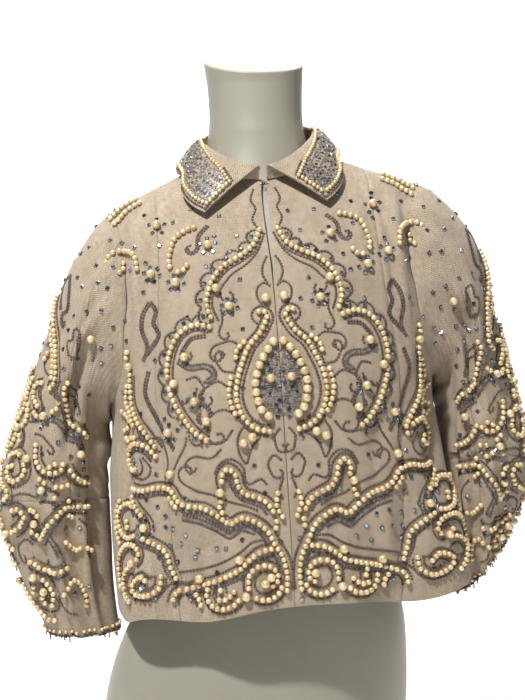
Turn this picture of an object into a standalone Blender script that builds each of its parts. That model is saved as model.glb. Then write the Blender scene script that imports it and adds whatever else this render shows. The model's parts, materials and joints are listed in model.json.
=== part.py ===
"""A cropped jacket with bishop sleeves, beaded with pearls, on a limbless dress form.

The jacket is cut as on a maker's table: two centre fronts, two side fronts, a back, four pieces
to each sleeve and a collar. All of them are walls on two smooth surfaces, one round the torso and
one down each arm, so that neighbouring pieces share their seam lines. Tables are in millimetres.
The row frame has X to the wearer's left, Y backwards and Z up, and its origin is the middle of
the form's base.
"""

import math
from collections import namedtuple

import bmesh
import bpy
import numpy as np

MM = 0.001

# Driving dimensions, in millimetres and degrees.
CLOTH = 2.0
COLLAR_CLOTH = 2.4
ROLL_RADIUS = 4.5
FALL_BULGE = 2.0
SEAM_GAP = 0.4
TIP_GAP = 2.5
NECK_CENTRE_X = 3.0
NECK_PIVOT_Z = 660.0
LEAN = 3.4
HEM_Z = 240.0
HEM_TILT = 4.3
SHOULDER_Z = 640.0
SHOULDER_TILT = 6.2
BACK_SLEEVE_SEAM = 252.0
BIG_PEARL = 9.0
PEARL_ROOM = 1.15
NECK_TOP_Z = 790.0
NECK_TOP_DROP = 21.0
SLEEVE_HOLD_Z = 520.0
ARMHOLE_STEP = 18.0

# Levels on the torso surface: 0 is the hem, and these are its other named levels.
UNDERARM = 1.0
SHOULDER_POINT = 1.72
YOKE_SEAM_END = 1.84
NECKLINE = 2.0

# Shares of the sleeve's length: 0 is the armhole, and 1 the cuff.
ELBOW_SEAM = 0.78
CUFF = 1.0
ARMHOLE_BLEND = 0.22

# Points across the pieces of a sleeve, so that they meet the armhole's corners.
OUTER_COLUMNS = 17
UNDER_COLUMNS = 13


class Table:
    """Rows of named columns, read at any value of the first by a smooth cubic through the rows."""

    def __init__(self, columns, *rows):
        self.row = namedtuple("Row", columns)
        self.values = np.array(rows, float)
        self.keys = self.values[:, 0]
        self.slopes = np.gradient(self.values, self.keys, axis=0)

    def at(self, key):
        last = len(self.keys) - 2
        i = min(max(int(np.searchsorted(self.keys, key, side="right")) - 1, 0), last)
        step = self.keys[i + 1] - self.keys[i]
        t = min(max((key - self.keys[i]) / step, 0.0), 1.0)
        rise = t * t * (3 - 2 * t)
        start, end = t * (1 - t) ** 2 * step, t * t * (t - 1) * step
        value = (1 - rise) * self.values[i] + rise * self.values[i + 1]
        return self.row(*(value + start * self.slopes[i] + end * self.slopes[i + 1]))


# The torso of the jacket: half width and depths of each ring, its heights at the centre front,
# the side and the centre back, and how square its corners are.
TORSO = Table(
    "level half_width front back front_z side_z back_z square bow",
    (0.00, 181, 147, 126, 230, 223, 232, 0.86, 0.90),
    (0.35, 181, 146, 123, 302, 296, 305, 0.86, 0.90),
    (0.65, 179, 144, 120, 363, 358, 368, 0.87, 0.92),
    (1.00, 173, 139, 117, 438, 434, 442, 0.88, 0.94),
    (1.15, 181, 134, 118, 474, 470, 482, 0.90, 0.98),
    (1.35, 190, 122, 116, 520, 541, 536, 0.94, 1.06),
    (1.50, 194, 111, 111, 556, 600, 580, 0.97, 1.14),
    (1.60, 188, 102, 106, 579, 627, 608, 1.00, 1.20),
    (1.70, 161, 91, 98, 601, 644, 634, 1.00, 1.20),
    (1.84, 113, 77, 84, 629, 664, 668, 1.00, 1.15),
    (2.00, 64, 60, 62, 656, 683, 698, 1.00, 1.00),
)

# How far the princess seam lies from the centre front.
PRINCESS = Table(
    "level side",
    (0.00, 113),
    (0.50, 118),
    (1.10, 123),
    (1.40, 115),
    (1.60, 112),
    (YOKE_SEAM_END, 113),
)

# How far the armhole lies from the centre line, from its top at 0 round to its base at 180.
ARMHOLE = Table(
    "turn front back",
    (0, 160, 160),
    (18, 154.5, 155),
    (36, 151.5, 154),
    (60, 150, 153),
    (90, 150, 153),
    (126, 157, 159),
    (150, 165, 166),
    (180, 176, 176),
)

# How far each front edge stands from the centre line: it gapes below the neck hook.
FRONT_EDGE = Table(
    "level side",
    (0.00, 0.25),
    (1.30, 0.25),
    (1.40, 0.25),
    (1.52, 0.6),
    (1.66, 2.2),
    (1.82, 3.2),
    (1.94, 2.6),
    (2.00, 1.2),
)

# Folds run up from the hem: how deep each is there, where it fades out and how soon it grows.
Fold = namedtuple("Fold", "azimuth width depth reach growth")
FOLDS = (
    Fold(62, 16, 29, 0.80, 1),
    Fold(98, 22, -24, 0.85, 1),
    Fold(33, 9, -7, 0.55, 1),
    Fold(14, 7, 4, 0.45, 1),
    Fold(-14, 8, 3, 0.40, 1),
    Fold(-30, 10, -6, 0.55, 1),
    Fold(-50, 13, 8, 0.75, 1),
    Fold(-93, 26, -3, 0.90, 1),
    Fold(125, 11, -3, 0.65, 1),
    Fold(150, 13, 9, 0.75, 1),
    Fold(178, 12, -6, 0.60, 1),
    Fold(-152, 13, 9, 0.75, 1),
    Fold(-122, 10, -4, 0.65, 1),
)

HemDip = namedtuple("HemDip", "azimuth width drop")
HEM_DIPS = (
    HemDip(-27, 15, 10),
    HemDip(40, 19, 9),
    HemDip(66, 12, -6),
    HemDip(-64, 14, 10),
    HemDip(150, 16, 6),
    HemDip(-150, 16, 6),
)

# The sleeves from armhole to cuff: the line down the outer side, the one down the inner side,
# the half depth from front to back, and how far behind the shoulder line the sleeve hangs.
SLEEVE_COLUMNS = "share outer_x outer_z inner_x inner_z half_depth behind"
RIGHT_SLEEVE = Table(
    SLEEVE_COLUMNS,
    (0.00, 160, 643, 173, 434, 72, 0),
    (0.08, 183, 626, 181, 431, 72, 0),
    (0.16, 203, 595, 186, 424, 70, 0),
    (0.26, 220, 558, 185, 410, 67, 0),
    (0.38, 237, 514, 181, 393, 64, 1),
    (0.50, 253, 467, 178, 376, 62, 2),
    (0.62, 270, 417, 176, 358, 62, 3),
    (0.72, 282, 375, 174, 344, 62, 4),
    (0.78, 287, 347, 173, 336, 61, 5),
    (0.88, 277, 298, 171, 290, 57, 7),
    (0.94, 260, 246, 168, 240, 50, 8),
    (1.00, 235, 195, 160, 190, 42, 9),
)
LEFT_SLEEVE = Table(
    SLEEVE_COLUMNS,
    (0.00, 160, 643, 173, 434, 72, 0),
    (0.08, 190, 633, 181, 431, 72, 0),
    (0.16, 214, 604, 186, 424, 70, 0),
    (0.26, 232, 564, 188, 412, 67, 0),
    (0.38, 244, 514, 189, 396, 64, 1),
    (0.50, 256, 466, 189, 378, 62, 2),
    (0.62, 270, 416, 189, 362, 62, 3),
    (0.72, 280, 374, 189, 350, 62, 4),
    (0.78, 284, 345, 189, 345, 61, 6),
    (0.88, 280, 298, 191, 290, 56, 9),
    (0.94, 269, 267, 197, 240, 49, 12),
    (1.00, 253, 246, 210, 198, 42, 14),
)

# Where the front seam runs round the sleeve: 0 is the outer side, and 90 the front.
SLEEVE_SEAM = Table(
    "share turn",
    (0.00, 36),
    (0.10, 61),
    (0.20, 96),
    (0.38, 107),
    (0.60, 110),
    (0.78, 113),
    (0.90, 101),
    (1.00, 78),
)

SleeveFold = namedtuple("SleeveFold", "turn width depth share reach")
SLEEVE_FOLDS = (
    SleeveFold(82, 11, 5, 0.26, 0.16),
    SleeveFold(108, 12, -9, 0.30, 0.20),
    SleeveFold(52, 13, -5, 0.34, 0.16),
    SleeveFold(62, 16, -6, 0.90, 0.08),
    SleeveFold(30, 14, 4, 0.88, 0.10),
    SleeveFold(125, 14, 5, 0.90, 0.10),
    SleeveFold(0, 16, -3, 0.92, 0.08),
    SleeveFold(-62, 14, -6, 0.30, 0.18),
    SleeveFold(-40, 15, -5, 0.90, 0.09),
    SleeveFold(-85, 14, 5, 0.88, 0.10),
    SleeveFold(146, 18, 6, 0.52, 0.24),
    SleeveFold(-146, 20, 8, 0.52, 0.26),
)

# The collar, from the centre front round to the centre back: where its seam lies on the
# neckline, how high and how far out it rolls, and where on the torso its edge lies.
COLLAR = Table(
    "seam roll_up roll_out edge_azimuth edge_level lift",
    (3, 13, 4, 26, 1.762, 7.0),
    (22, 17, 2, 35, 1.790, 6.5),
    (44, 22, -1, 46, 1.835, 6.0),
    (68, 26, -4, 60, 1.902, 5.5),
    (90, 29, -6, 88, 1.930, 5.5),
    (120, 31, -6, 124, 1.900, 5.5),
    (150, 31, -4, 152, 1.860, 5.5),
    (180, 31, -4, 180, 1.850, 5.5),
)

# The form below the jacket's chest, and its neck.
FORM_TRUNK = Table(
    "height middle half_width front back",
    (0, -4, 152, 98, 112),
    (50, -3, 160, 103, 120),
    (100, 0, 162, 104, 122),
    (150, 6, 157, 101, 116),
    (190, 13, 148, 96, 105),
    (240, 19, 132, 90, 92),
    (290, 22, 121, 88, 84),
    (340, 23, 122, 95, 84),
    (385, 22, 131, 110, 90),
    (420, 21, 140, 123, 97),
)
FORM_NECK = Table(
    "height middle half_width front back",
    (706, 1, 53, 54, 54),
    (722, 0, 50.5, 52, 53),
    (750, -1, 50.5, 51, 54),
    (775, -2, 52, 52, 55),
    (790, -3, 53.5, 53, 56),
)

# How far the form lies inside the jacket, on the shoulder line, in front and behind.
FORM_INSET = Table(
    "level side front back",
    (1.00, 26, 9, 13),
    (1.15, 22, 9, 12),
    (1.35, 26, 9, 11),
    (1.50, 30, 8, 9),
    (1.60, 22, 7, 7),
    (1.70, 6.0, 6, 6),
    (1.78, 2.55, 5, 5),
    (1.84, 2.55, 5, 5),
    (2.00, 5.0, 6, 5),
)

# Large pearls: side and height of each on the fronts, as seen from the front, in millimetres
# from the centre line and from the row frame's base.
FRONT_PEARLS = (
    (9, 531), (45, 527), (66, 546), (14, 476), (25, 449), (20, 421), (40, 392),
    (98, 482), (103, 455), (96, 556), (74, 408), (112, 407), (16, 268), (50, 281),
    (138, 312), (150, 270), (112, 352), (66, 344), (84, 268),
)

# Large pearls on each sleeve: share of its length and turn round it.
SLEEVE_PEARLS = (
    (0.52, 68), (0.60, 30), (0.66, 58), (0.70, 5), (0.72, -30), (0.74, 84),
    (0.84, 70), (0.86, 35), (0.86, -5), (0.92, 52), (0.93, 15), (0.62, -62),
)

FORM_COLOUR = (0.72, 0.71, 0.62)
CLOTH_COLOUR = (0.56, 0.44, 0.33)
METAL_COLOUR = (0.45, 0.38, 0.30)


def smooth(t):
    t = min(max(t, 0.0), 1.0)
    return t * t * (3 - 2 * t)


def power(value, exponent):
    return math.copysign(abs(value) ** exponent, value)


def bell(offset, width):
    return math.exp(-((offset / width) ** 2))


def around(angle):
    """The angle between -180 and 180 degrees."""
    return (angle + 180.0) % 360.0 - 180.0


def unit(vector):
    return vector / np.linalg.norm(vector)


def torso_point(azimuth, level):
    """A point of the jacket's torso, before it is settled: azimuth 0 is the centre front."""
    ring = TORSO.at(level)
    azimuth = around(azimuth)
    sine, cosine = math.sin(math.radians(azimuth)), math.cos(math.radians(azimuth))
    depth, middle_z = (ring.front, ring.front_z) if cosine >= 0 else (ring.back, ring.back_z)
    x = ring.half_width * power(sine, ring.square)
    y = -depth * power(cosine, ring.bow)
    z = middle_z + (ring.side_z - middle_z) * sine * sine
    for fold in FOLDS:
        strength = smooth(fold.growth * (fold.reach - level) / fold.reach)
        push = fold.depth * strength * bell(around(azimuth - fold.azimuth), fold.width)
        x += push * sine
        y -= push * cosine
    fade = smooth(1 - level / 0.6)
    for dip in HEM_DIPS:
        z -= dip.drop * fade * bell(around(azimuth - dip.azimuth), dip.width)
    return np.array((x, y, z))


def azimuth_at(side, level):
    """The azimuth at which the torso's ring lies this far from its centre line."""
    ring = TORSO.at(level)
    share = min(max(abs(side) / ring.half_width, 0.0), 1.0)
    return math.copysign(math.degrees(math.asin(share ** (1 / ring.square))), side)


def side_level(height):
    """The level at which the torso's side lies this high."""
    low, high = 0.0, NECKLINE
    for _ in range(30):
        level = (low + high) / 2
        if TORSO.at(level).side_z < height:
            low = level
        else:
            high = level
    return level


def armhole_heights():
    """The middle and half of the armhole's rise, at the side."""
    base, top = TORSO.at(UNDERARM).side_z, TORSO.at(SHOULDER_POINT).side_z
    return (top + base) / 2, (top - base) / 2


def armhole(turn):
    """Azimuth and level of the armhole's edge: turn 0 is its top, 90 its front, 180 its base."""
    turn = turn % 360.0
    middle, half = armhole_heights()
    level = side_level(middle + half * math.cos(math.radians(turn)))
    if turn <= 180:
        return azimuth_at(ARMHOLE.at(turn).front, level), level
    return 180 - azimuth_at(ARMHOLE.at(360 - turn).back, level), level


def on_armhole(turn, at):
    """A value at a turn round the armhole, straight between its values at the edge's corners."""
    corner = math.floor(turn / ARMHOLE_STEP)
    t = turn / ARMHOLE_STEP - corner
    return (1 - t) * at(corner * ARMHOLE_STEP) + t * at((corner + 1) * ARMHOLE_STEP)


def sleeve_point(side, turn, share):
    """A point of a sleeve before it is settled: side is -1 for the wearer's right and 1 for the left."""
    row = (LEFT_SLEEVE if side > 0 else RIGHT_SLEEVE).at(share)
    outer = np.array((row.outer_x, 0, row.outer_z))
    inner = np.array((row.inner_x, 0, row.inner_z))
    angle = math.radians(turn)
    middle = (outer + inner) / 2 + np.array((0, row.behind, 0))
    push = 1.0
    for fold in SLEEVE_FOLDS:
        near = bell(around(turn - fold.turn), fold.width) * bell(share - fold.share, fold.reach)
        push += near * fold.depth / row.half_depth
    across = (outer - inner) / 2 * math.cos(angle)
    point = middle + push * (across - np.array((0, row.half_depth, 0)) * math.sin(angle))
    edge = on_armhole(turn, lambda corner: torso_point(*armhole(corner)))
    rest = max(1 - share / ARMHOLE_BLEND, 0.0) ** 2
    return (rest * edge + (1 - rest) * point) * (side, 1, 1)


def lean(height):
    """How far a point at this height lies to the side, as the jacket leans on the form."""
    return (NECK_PIVOT_Z - height) * math.tan(math.radians(LEAN))


def settle(point, hang=0.0):
    """The point on the form, whose shoulders tilt. A sleeve hangs straight down as hang nears 1."""
    x, y, z = point
    side = (1 - hang) * lean(z) + hang * lean(max(z, SLEEVE_HOLD_Z))
    share = (z - HEM_Z) / (SHOULDER_Z - HEM_Z)
    tilt = HEM_TILT + (SHOULDER_TILT - HEM_TILT) * min(max(share, 0.0), 1.0)
    return np.array((NECK_CENTRE_X + x + side, y, z + x * math.tan(math.radians(tilt))))


def surface_normal(surface, u, v, u_step, v_step, v_range):
    """Unit normal of a surface from points on either side of this one."""
    low, high = max(v - v_step, v_range[0]), min(v + v_step, v_range[1])
    along_u = surface(u + u_step, v) - surface(u - u_step, v)
    along_v = surface(u, high) - surface(u, low)
    return unit(np.cross(along_u, along_v))


def torso(azimuth, level):
    return settle(torso_point(azimuth, level))


def torso_normal(azimuth, level):
    return surface_normal(torso, azimuth, level, 2.5, 0.02, (0, NECKLINE))


def sleeve(side, turn, share):
    return settle(sleeve_point(side, turn, share), hang=smooth(share / 0.35))


def sleeve_normal(side, turn, share):
    def surface(u, v):
        return sleeve(side, u, v)

    step = 0.05 if share == 0 else 0.012
    return side * surface_normal(surface, turn, share, 4.0, step, (0, CUFF))


def mitre(first, second, thickness):
    """How far in the inner edge lies where two walls with these normals meet."""
    middle = unit(first + second)
    return middle * thickness / max(float(middle @ first), 0.6)


def armhole_mitre(side, turn):
    def corner_mitre(corner):
        azimuth, level = armhole(corner)
        return mitre(torso_normal(side * azimuth, level), sleeve_normal(side, corner, 0.0), CLOTH)

    return on_armhole(turn, corner_mitre)


def pull_in(grid, amount):
    """Draws each edge of a grid of points in by this much, square to the edge."""
    drawn = grid.copy()
    for edge, inside in ((0, 1), (-1, -2)):
        for axis in (0, 1):
            rows = np.moveaxis(grid, axis, 0)
            along = np.gradient(rows[edge], axis=0)
            length = np.linalg.norm(along, axis=1, keepdims=True)
            step = rows[inside] - rows[edge]
            if length.max() < amount:
                pull = step / np.linalg.norm(step, axis=1, keepdims=True) * TIP_GAP
            else:
                along /= np.maximum(length, 1e-9)
                step -= along * np.sum(step * along, axis=1, keepdims=True)
                size = np.linalg.norm(step, axis=1, keepdims=True)
                pull = np.where(size > amount, step / np.maximum(size, 1e-9), 0) * amount
            np.moveaxis(drawn, axis, 0)[edge] += pull
    return drawn


def wall_mesh(outer, inner, pearls=()):
    """A wall between two grids of points in millimetres, with large pearls at these points."""
    made = bmesh.new()
    rows, columns = outer.shape[:2]
    front = [[made.verts.new(p * MM) for p in row] for row in outer]
    back = [[made.verts.new(p * MM) for p in row] for row in inner]
    cells = {}
    for i in range(rows - 1):
        for j in range(columns - 1):
            corners = (front[i][j], front[i][j + 1], front[i + 1][j + 1], front[i + 1][j])
            cells[i, j] = made.faces.new(corners)
            made.faces.new((back[i + 1][j], back[i + 1][j + 1], back[i][j + 1], back[i][j]))
    for i in (0, rows - 1):
        for j in range(columns - 1):
            made.faces.new((front[i][j], back[i][j], back[i][j + 1], front[i][j + 1]))
    for j in (0, columns - 1):
        for i in range(rows - 1):
            made.faces.new((front[i][j], front[i + 1][j], back[i + 1][j], back[i][j]))
    for centre in pearls:
        raise_pearl(made, front, cells, centre * MM, outer - inner)
    loose = [edge for edge in made.edges if not edge.link_faces]
    bmesh.ops.delete(made, geom=loose, context="EDGES")
    loose = [vert for vert in made.verts if not vert.link_faces]
    bmesh.ops.delete(made, geom=loose, context="VERTS")
    bmesh.ops.remove_doubles(made, verts=made.verts, dist=1e-6)
    bmesh.ops.triangulate(made, faces=made.faces, quad_method="SHORT_EDGE")
    bmesh.ops.recalc_face_normals(made, faces=made.faces)
    return made


def pearl_block(front, cells, centre):
    """The block of cells round a pearl, one column wide and as many rows as the pearl needs."""
    low, column = min(cells, key=lambda c: np.linalg.norm(face_middle(cells[c]) - centre))
    high = low + 1
    while True:
        ends = [(np.array(front[i][column].co) + np.array(front[i][column + 1].co)) / 2 for i in (low, high)]
        if np.linalg.norm(ends[1] - ends[0]) > PEARL_ROOM * BIG_PEARL * MM:
            break
        near_low = np.linalg.norm(ends[0] - centre) < np.linalg.norm(ends[1] - centre)
        if (near_low and (low - 1, column) in cells) or (high, column) not in cells:
            low -= 1
        else:
            high += 1
        if (low, column) not in cells or (high - 1, column) not in cells:
            return None
    return low, high, column


def face_middle(face):
    return np.array(face.calc_center_median())


def raise_pearl(made, front, cells, centre, outward):
    """Raises a large pearl out of the block of cells that it stands on, where there is room."""
    block = pearl_block(front, cells, centre)
    if block is None:
        return
    low, high, column = block
    rim = [(i, column) for i in range(low, high + 1)]
    rim += [(i, column + 1) for i in range(high, low - 1, -1)]
    rim = [front[i][j] for i, j in rim]
    corners = [np.array(front[i][j].co) for i, j in ((low, column), (low, column + 1))]
    corners += [np.array(front[i][j].co) for i, j in ((high, column + 1), (high, column))]
    middle = sum(corners) / 4
    normal = unit(np.cross(corners[2] - corners[0], corners[3] - corners[1]))
    if normal @ outward[low, column] < 0:
        normal = -normal
    along = unit((corners[1] + corners[2]) / 2 - middle)
    across = np.cross(normal, along)
    radius = BIG_PEARL / 2 * MM
    seat = middle.copy()
    for axis, edge in ((along, (corners[1] + corners[2]) / 2), (across, (corners[2] + corners[3]) / 2)):
        slack = max(abs(float((edge - middle) @ axis)) - PEARL_ROOM * radius, 0.0)
        seat += axis * min(max(float((centre - middle) @ axis), -slack), slack)
    if np.linalg.norm(seat - centre) > radius:
        return

    def ring(size, height):
        points = []
        for k in range(8):
            turn = math.radians(45 * k - 157.5)
            side = (along * math.cos(turn) + across * math.sin(turn)) * size * radius
            points.append(made.verts.new(seat + side + normal * height * radius))
        return points

    for row in range(low, high):
        made.faces.remove(cells.pop((row, column)))
    base, girth, crown = ring(0.80, 0.15), ring(0.98, 0.85), ring(0.62, 1.68)
    join_rings(made, rim, base, seat, along, across)
    for inner, outer in ((base, girth), (girth, crown)):
        for k in range(8):
            made.faces.new((inner[k], inner[(k + 1) % 8], outer[(k + 1) % 8], outer[k]))
    made.faces.new(crown)


def join_rings(made, rim, base, seat, along, across):
    """Fills the space between a rim and the ring inside it with triangles, turning round the seat."""

    def turn(vert):
        offset = np.array(vert.co) - seat
        return math.atan2(float(offset @ across), float(offset @ along))

    rim, base = sorted(rim, key=turn), sorted(base, key=turn)
    i = j = 0
    while i < len(rim) or j < len(base):
        next_rim = turn(rim[i + 1]) if i + 1 < len(rim) else turn(rim[(i + 1) % len(rim)]) + math.tau
        next_base = turn(base[j + 1]) if j + 1 < len(base) else turn(base[(j + 1) % len(base)]) + math.tau
        here, there = rim[i % len(rim)], base[j % len(base)]
        if j >= len(base) or (i < len(rim) and next_rim < next_base):
            made.faces.new((here, rim[(i + 1) % len(rim)], there))
            i += 1
        else:
            made.faces.new((here, base[(j + 1) % len(base)], there))
            j += 1


def material(name, colour, roughness, metallic=0.0):
    made = bpy.data.materials.new(name)
    made.use_nodes = True
    shader = made.node_tree.nodes["Principled BSDF"]
    shader.inputs["Base Color"].default_value = (*colour, 1)
    shader.inputs["Roughness"].default_value = roughness
    shader.inputs["Metallic"].default_value = metallic
    return made


def add_object(name, made, finish, collection):
    mesh = bpy.data.meshes.new(name)
    made.to_mesh(mesh)
    made.free()
    obj = bpy.data.objects.new(name, mesh)
    obj.data.materials.append(finish)
    collection.objects.link(obj)
    return obj


def torso_levels():
    """Levels of the torso's rows: below the armhole, beside it, over the yoke and at the neck."""
    low = list(np.linspace(0, UNDERARM, 10))
    beside = [armhole(turn)[1] for turn in np.arange(180 - ARMHOLE_STEP, -1, -ARMHOLE_STEP)]
    rise = YOKE_SEAM_END - SHOULDER_POINT
    yoke = [SHOULDER_POINT + rise * math.sin(math.radians(turn)) for turn in (22.5, 45, 67.5, 90)]
    neck = list(np.linspace(YOKE_SEAM_END, NECKLINE, 4))[1:]
    return low, beside, yoke, neck


def torso_grid(rows):
    """Outer and inner points of a torso piece, from rows of (azimuth, level, inset or None)."""
    outer = np.array([[torso(azimuth, level) for azimuth, level, _ in row] for row in rows])
    inset = np.array(
        [
            [CLOTH * torso_normal(azimuth, level) if deep is None else deep for azimuth, level, deep in row]
            for row in rows
        ]
    )
    outer = pull_in(outer, SEAM_GAP / 2)
    return outer, outer - inset


def side_edge(level, side, behind=False):
    """Azimuth and inset of a panel's outer edge: the side seam, the armhole or the shoulder."""
    if UNDERARM <= level <= SHOULDER_POINT + 1e-9:
        middle, half = armhole_heights()
        rise = (TORSO.at(level).side_z - middle) / half
        turn = math.degrees(math.acos(min(max(rise, -1), 1)))
        turn = round(turn / ARMHOLE_STEP) * ARMHOLE_STEP
        turn = 360 - turn if behind else turn
        return side * armhole(turn)[0], armhole_mitre(side, turn)
    return side * 90.0, None


def princess_azimuth(level, side):
    if level >= YOKE_SEAM_END - 1e-9:
        return side * 90.0
    return side * azimuth_at(PRINCESS.at(level).side, level)


def pearls_on(side, inside):
    """Points of the large pearls of one front that lie inside, or else outside, its princess seam."""
    found = []
    for across, height in FRONT_PEARLS:
        level = level_at(across, height)
        if (across < PRINCESS.at(level).side - 6) == inside:
            found.append(torso(side * azimuth_at(across, level), level))
    return found


def level_at(across, height):
    """The level at which the front lies this high, this far from its centre line."""
    low, high = 0.0, NECKLINE
    for _ in range(30):
        level = (low + high) / 2
        if torso_point(azimuth_at(across, level), level)[2] < height:
            low = level
        else:
            high = level
    return level


def fronts(finish, collection):
    low, beside, yoke, neck = torso_levels()
    for side, name in ((-1, "right"), (1, "left")):
        rows = []
        for level in low + beside + yoke + neck:
            start = side * azimuth_at(FRONT_EDGE.at(level).side, level)
            end = princess_azimuth(level, side)
            rows.append([(azimuth, level, None) for azimuth in np.linspace(start, end, 8)])
        outer, inner = torso_grid(rows)
        made = wall_mesh(outer, inner, pearls=pearls_on(side, inside=True))
        add_object(f"front_centre_{name}", made, finish, collection)
        rows = []
        for level in low + beside + yoke:
            edge, deep = side_edge(level, side)
            spread = np.linspace(princess_azimuth(level, side), edge, 7)
            rows.append([(azimuth, level, None) for azimuth in spread[:-1]] + [(edge, level, deep)])
        outer, inner = torso_grid(rows)
        made = wall_mesh(outer, inner, pearls=pearls_on(side, inside=False))
        add_object(f"front_side_{name}", made, finish, collection)


def back(finish, collection):
    rows = []
    for level in sum(torso_levels(), []):
        start, start_deep = side_edge(level, 1, behind=True)
        end, end_deep = side_edge(level, -1, behind=True)
        spread = np.linspace(start, 360 + end, 22)
        row = [(azimuth, level, None) for azimuth in spread]
        row[0] = (start, level, start_deep)
        row[-1] = (end, level, end_deep)
        rows.append(row)
    outer, inner = torso_grid(rows)
    add_object("back", wall_mesh(outer, inner), finish, collection)


def sleeve_piece(name, side, shares, turns, columns, finish, collection):
    """One piece of a sleeve, between two seams whose turns depend on the share of its length."""
    outer, inset = [], []
    for share in shares:
        row = np.linspace(*turns(share), columns)
        outer.append([sleeve(side, turn, share) for turn in row])
        if share == 0:
            inset.append([armhole_mitre(side, turn) for turn in row])
        else:
            inset.append([CLOTH * sleeve_normal(side, turn, share) for turn in row])
    outer = pull_in(np.array(outer), SEAM_GAP / 2)
    pearls = []
    for share, turn in SLEEVE_PEARLS:
        start, end = turns(share)
        inside = min(start, end) + 8 < turn < max(start, end) - 8
        if inside and shares[0] < share < shares[-1]:
            pearls.append(sleeve(side, turn, share))
    made = wall_mesh(outer, outer - np.array(inset), pearls=pearls)
    add_object(name, made, finish, collection)


def sleeves(finish, collection):
    def outer_turns(share):
        return BACK_SLEEVE_SEAM - 360, SLEEVE_SEAM.at(share).turn

    def under_turns(share):
        return SLEEVE_SEAM.at(share).turn, BACK_SLEEVE_SEAM

    upper = np.linspace(0, ELBOW_SEAM, 13)
    lower = np.linspace(ELBOW_SEAM, CUFF, 7)
    for side, name in ((-1, "right"), (1, "left")):
        pieces = (("outer", outer_turns, OUTER_COLUMNS), ("under", under_turns, UNDER_COLUMNS))
        for piece, turns, columns in pieces:
            for part, shares in (("upper", upper), ("lower", lower)):
                title = f"sleeve_{name}_{part}_{piece}"
                sleeve_piece(title, side, shares, turns, columns, finish, collection)


def collar_section(side, seam):
    """Points of the collar's upper side from its seam, up its stand and over the roll, to its edge."""
    row = COLLAR.at(seam)
    foot = torso(side * row.seam, NECKLINE) + 0.6 * torso_normal(side * row.seam, NECKLINE)
    radial = np.array((side * math.sin(math.radians(seam)), -math.cos(math.radians(seam)), 0))
    up = np.array((0, 0, 1.0))
    edge_at = side * row.edge_azimuth, row.edge_level
    edge = torso(*edge_at) + (row.lift + COLLAR_CLOTH) * torso_normal(*edge_at)
    middle = foot + radial * (row.roll_out + ROLL_RADIUS) + up * (row.roll_up - ROLL_RADIUS)
    fall = unit((edge - middle) * (1, 1, 0))
    points = [foot, foot * 0.5 + (middle - radial * ROLL_RADIUS) * 0.5]
    for turn, share in ((180, 0.0), (135, 0.3), (90, 0.7), (50, 1.0)):
        away = unit(radial * (1 - share) + fall * share)
        angle = math.radians(turn)
        points.append(middle + ROLL_RADIUS * (away * math.cos(angle) + up * math.sin(angle)))
    start = points[-1]
    for share in (0.3, 0.65, 1.0):
        bulge = FALL_BULGE * 4 * share * (1 - share)
        points.append(start * (1 - share) + edge * share + bulge * torso_normal(*edge_at))
    return points


def collar(finish, collection):
    seams = list(np.linspace(3, 180, 15))
    around_neck = [(-1, seam) for seam in seams] + [(1, seam) for seam in reversed(seams[:-1])]
    grid = np.array([collar_section(side, seam) for side, seam in around_neck])
    normals = np.cross(np.gradient(grid, axis=0), np.gradient(grid, axis=1))
    normals /= np.linalg.norm(normals, axis=2, keepdims=True)
    if normals[len(grid) // 2, -1, 2] < 0:
        normals = -normals
    made = wall_mesh(grid, grid - normals * COLLAR_CLOTH)
    add_object("collar", made, finish, collection)


def form_ring(row, count, height_at):
    points = []
    for k in range(count):
        azimuth = math.radians(360 * k / count)
        sine, cosine = math.sin(azimuth), math.cos(azimuth)
        depth = row.front if cosine >= 0 else row.back
        y = -depth * power(cosine, 0.95)
        points.append((row.middle + row.half_width * power(sine, 0.95), y, height_at(y)))
    return np.array(points)


def form_shoulders(level, count):
    """A ring of the form inside the jacket, drawn in by the inset that its level gives."""
    inset = FORM_INSET.at(level)
    points = []
    for k in range(count):
        azimuth = 360 * k / count
        side = math.sin(math.radians(azimuth)) ** 2
        middle = inset.front if math.cos(math.radians(azimuth)) >= 0 else inset.back
        deep = inset.side * side + middle * (1 - side)
        points.append(torso(azimuth, level) - deep * torso_normal(azimuth, level))
    return np.array(points)


def form(finish, collection):
    """One smooth closed body from the flat base to the neck, whose top slopes down in front."""
    count = 32
    rings = []
    for height in np.linspace(0, 420, 11):
        rings.append(form_ring(FORM_TRUNK.at(height), count, lambda y, z=height: z))
    _, beside, yoke, neck = torso_levels()
    for level in beside[1:] + yoke + neck:
        rings.append(form_shoulders(level, count))
    for height in (706, 722, 750, 766):
        rings.append(form_ring(FORM_NECK.at(height), count, lambda y, z=height: z))
    top = FORM_NECK.at(NECK_TOP_Z)

    def top_height(y):
        return NECK_TOP_Z + NECK_TOP_DROP * min(y, 0) / top.front

    rings[-1][:, 2] = [min(z, top_height(y) - 6) for _, y, z in rings[-1]]
    rings.append(form_ring(top, count, top_height))
    made = bmesh.new()
    verts = [[made.verts.new(p * MM) for p in ring] for ring in rings]
    for low, high in zip(verts, verts[1:]):
        for k in range(count):
            made.faces.new((low[k], low[(k + 1) % count], high[(k + 1) % count], high[k]))
    made.faces.new(verts[0])
    quarter = count // 4
    last = verts[-1]
    made.faces.new(last[-quarter:] + last[: quarter + 1])
    made.faces.new(last[quarter : 3 * quarter + 1])
    bmesh.ops.recalc_face_normals(made, faces=made.faces)
    add_object("dress_form", made, finish, collection)


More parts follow.
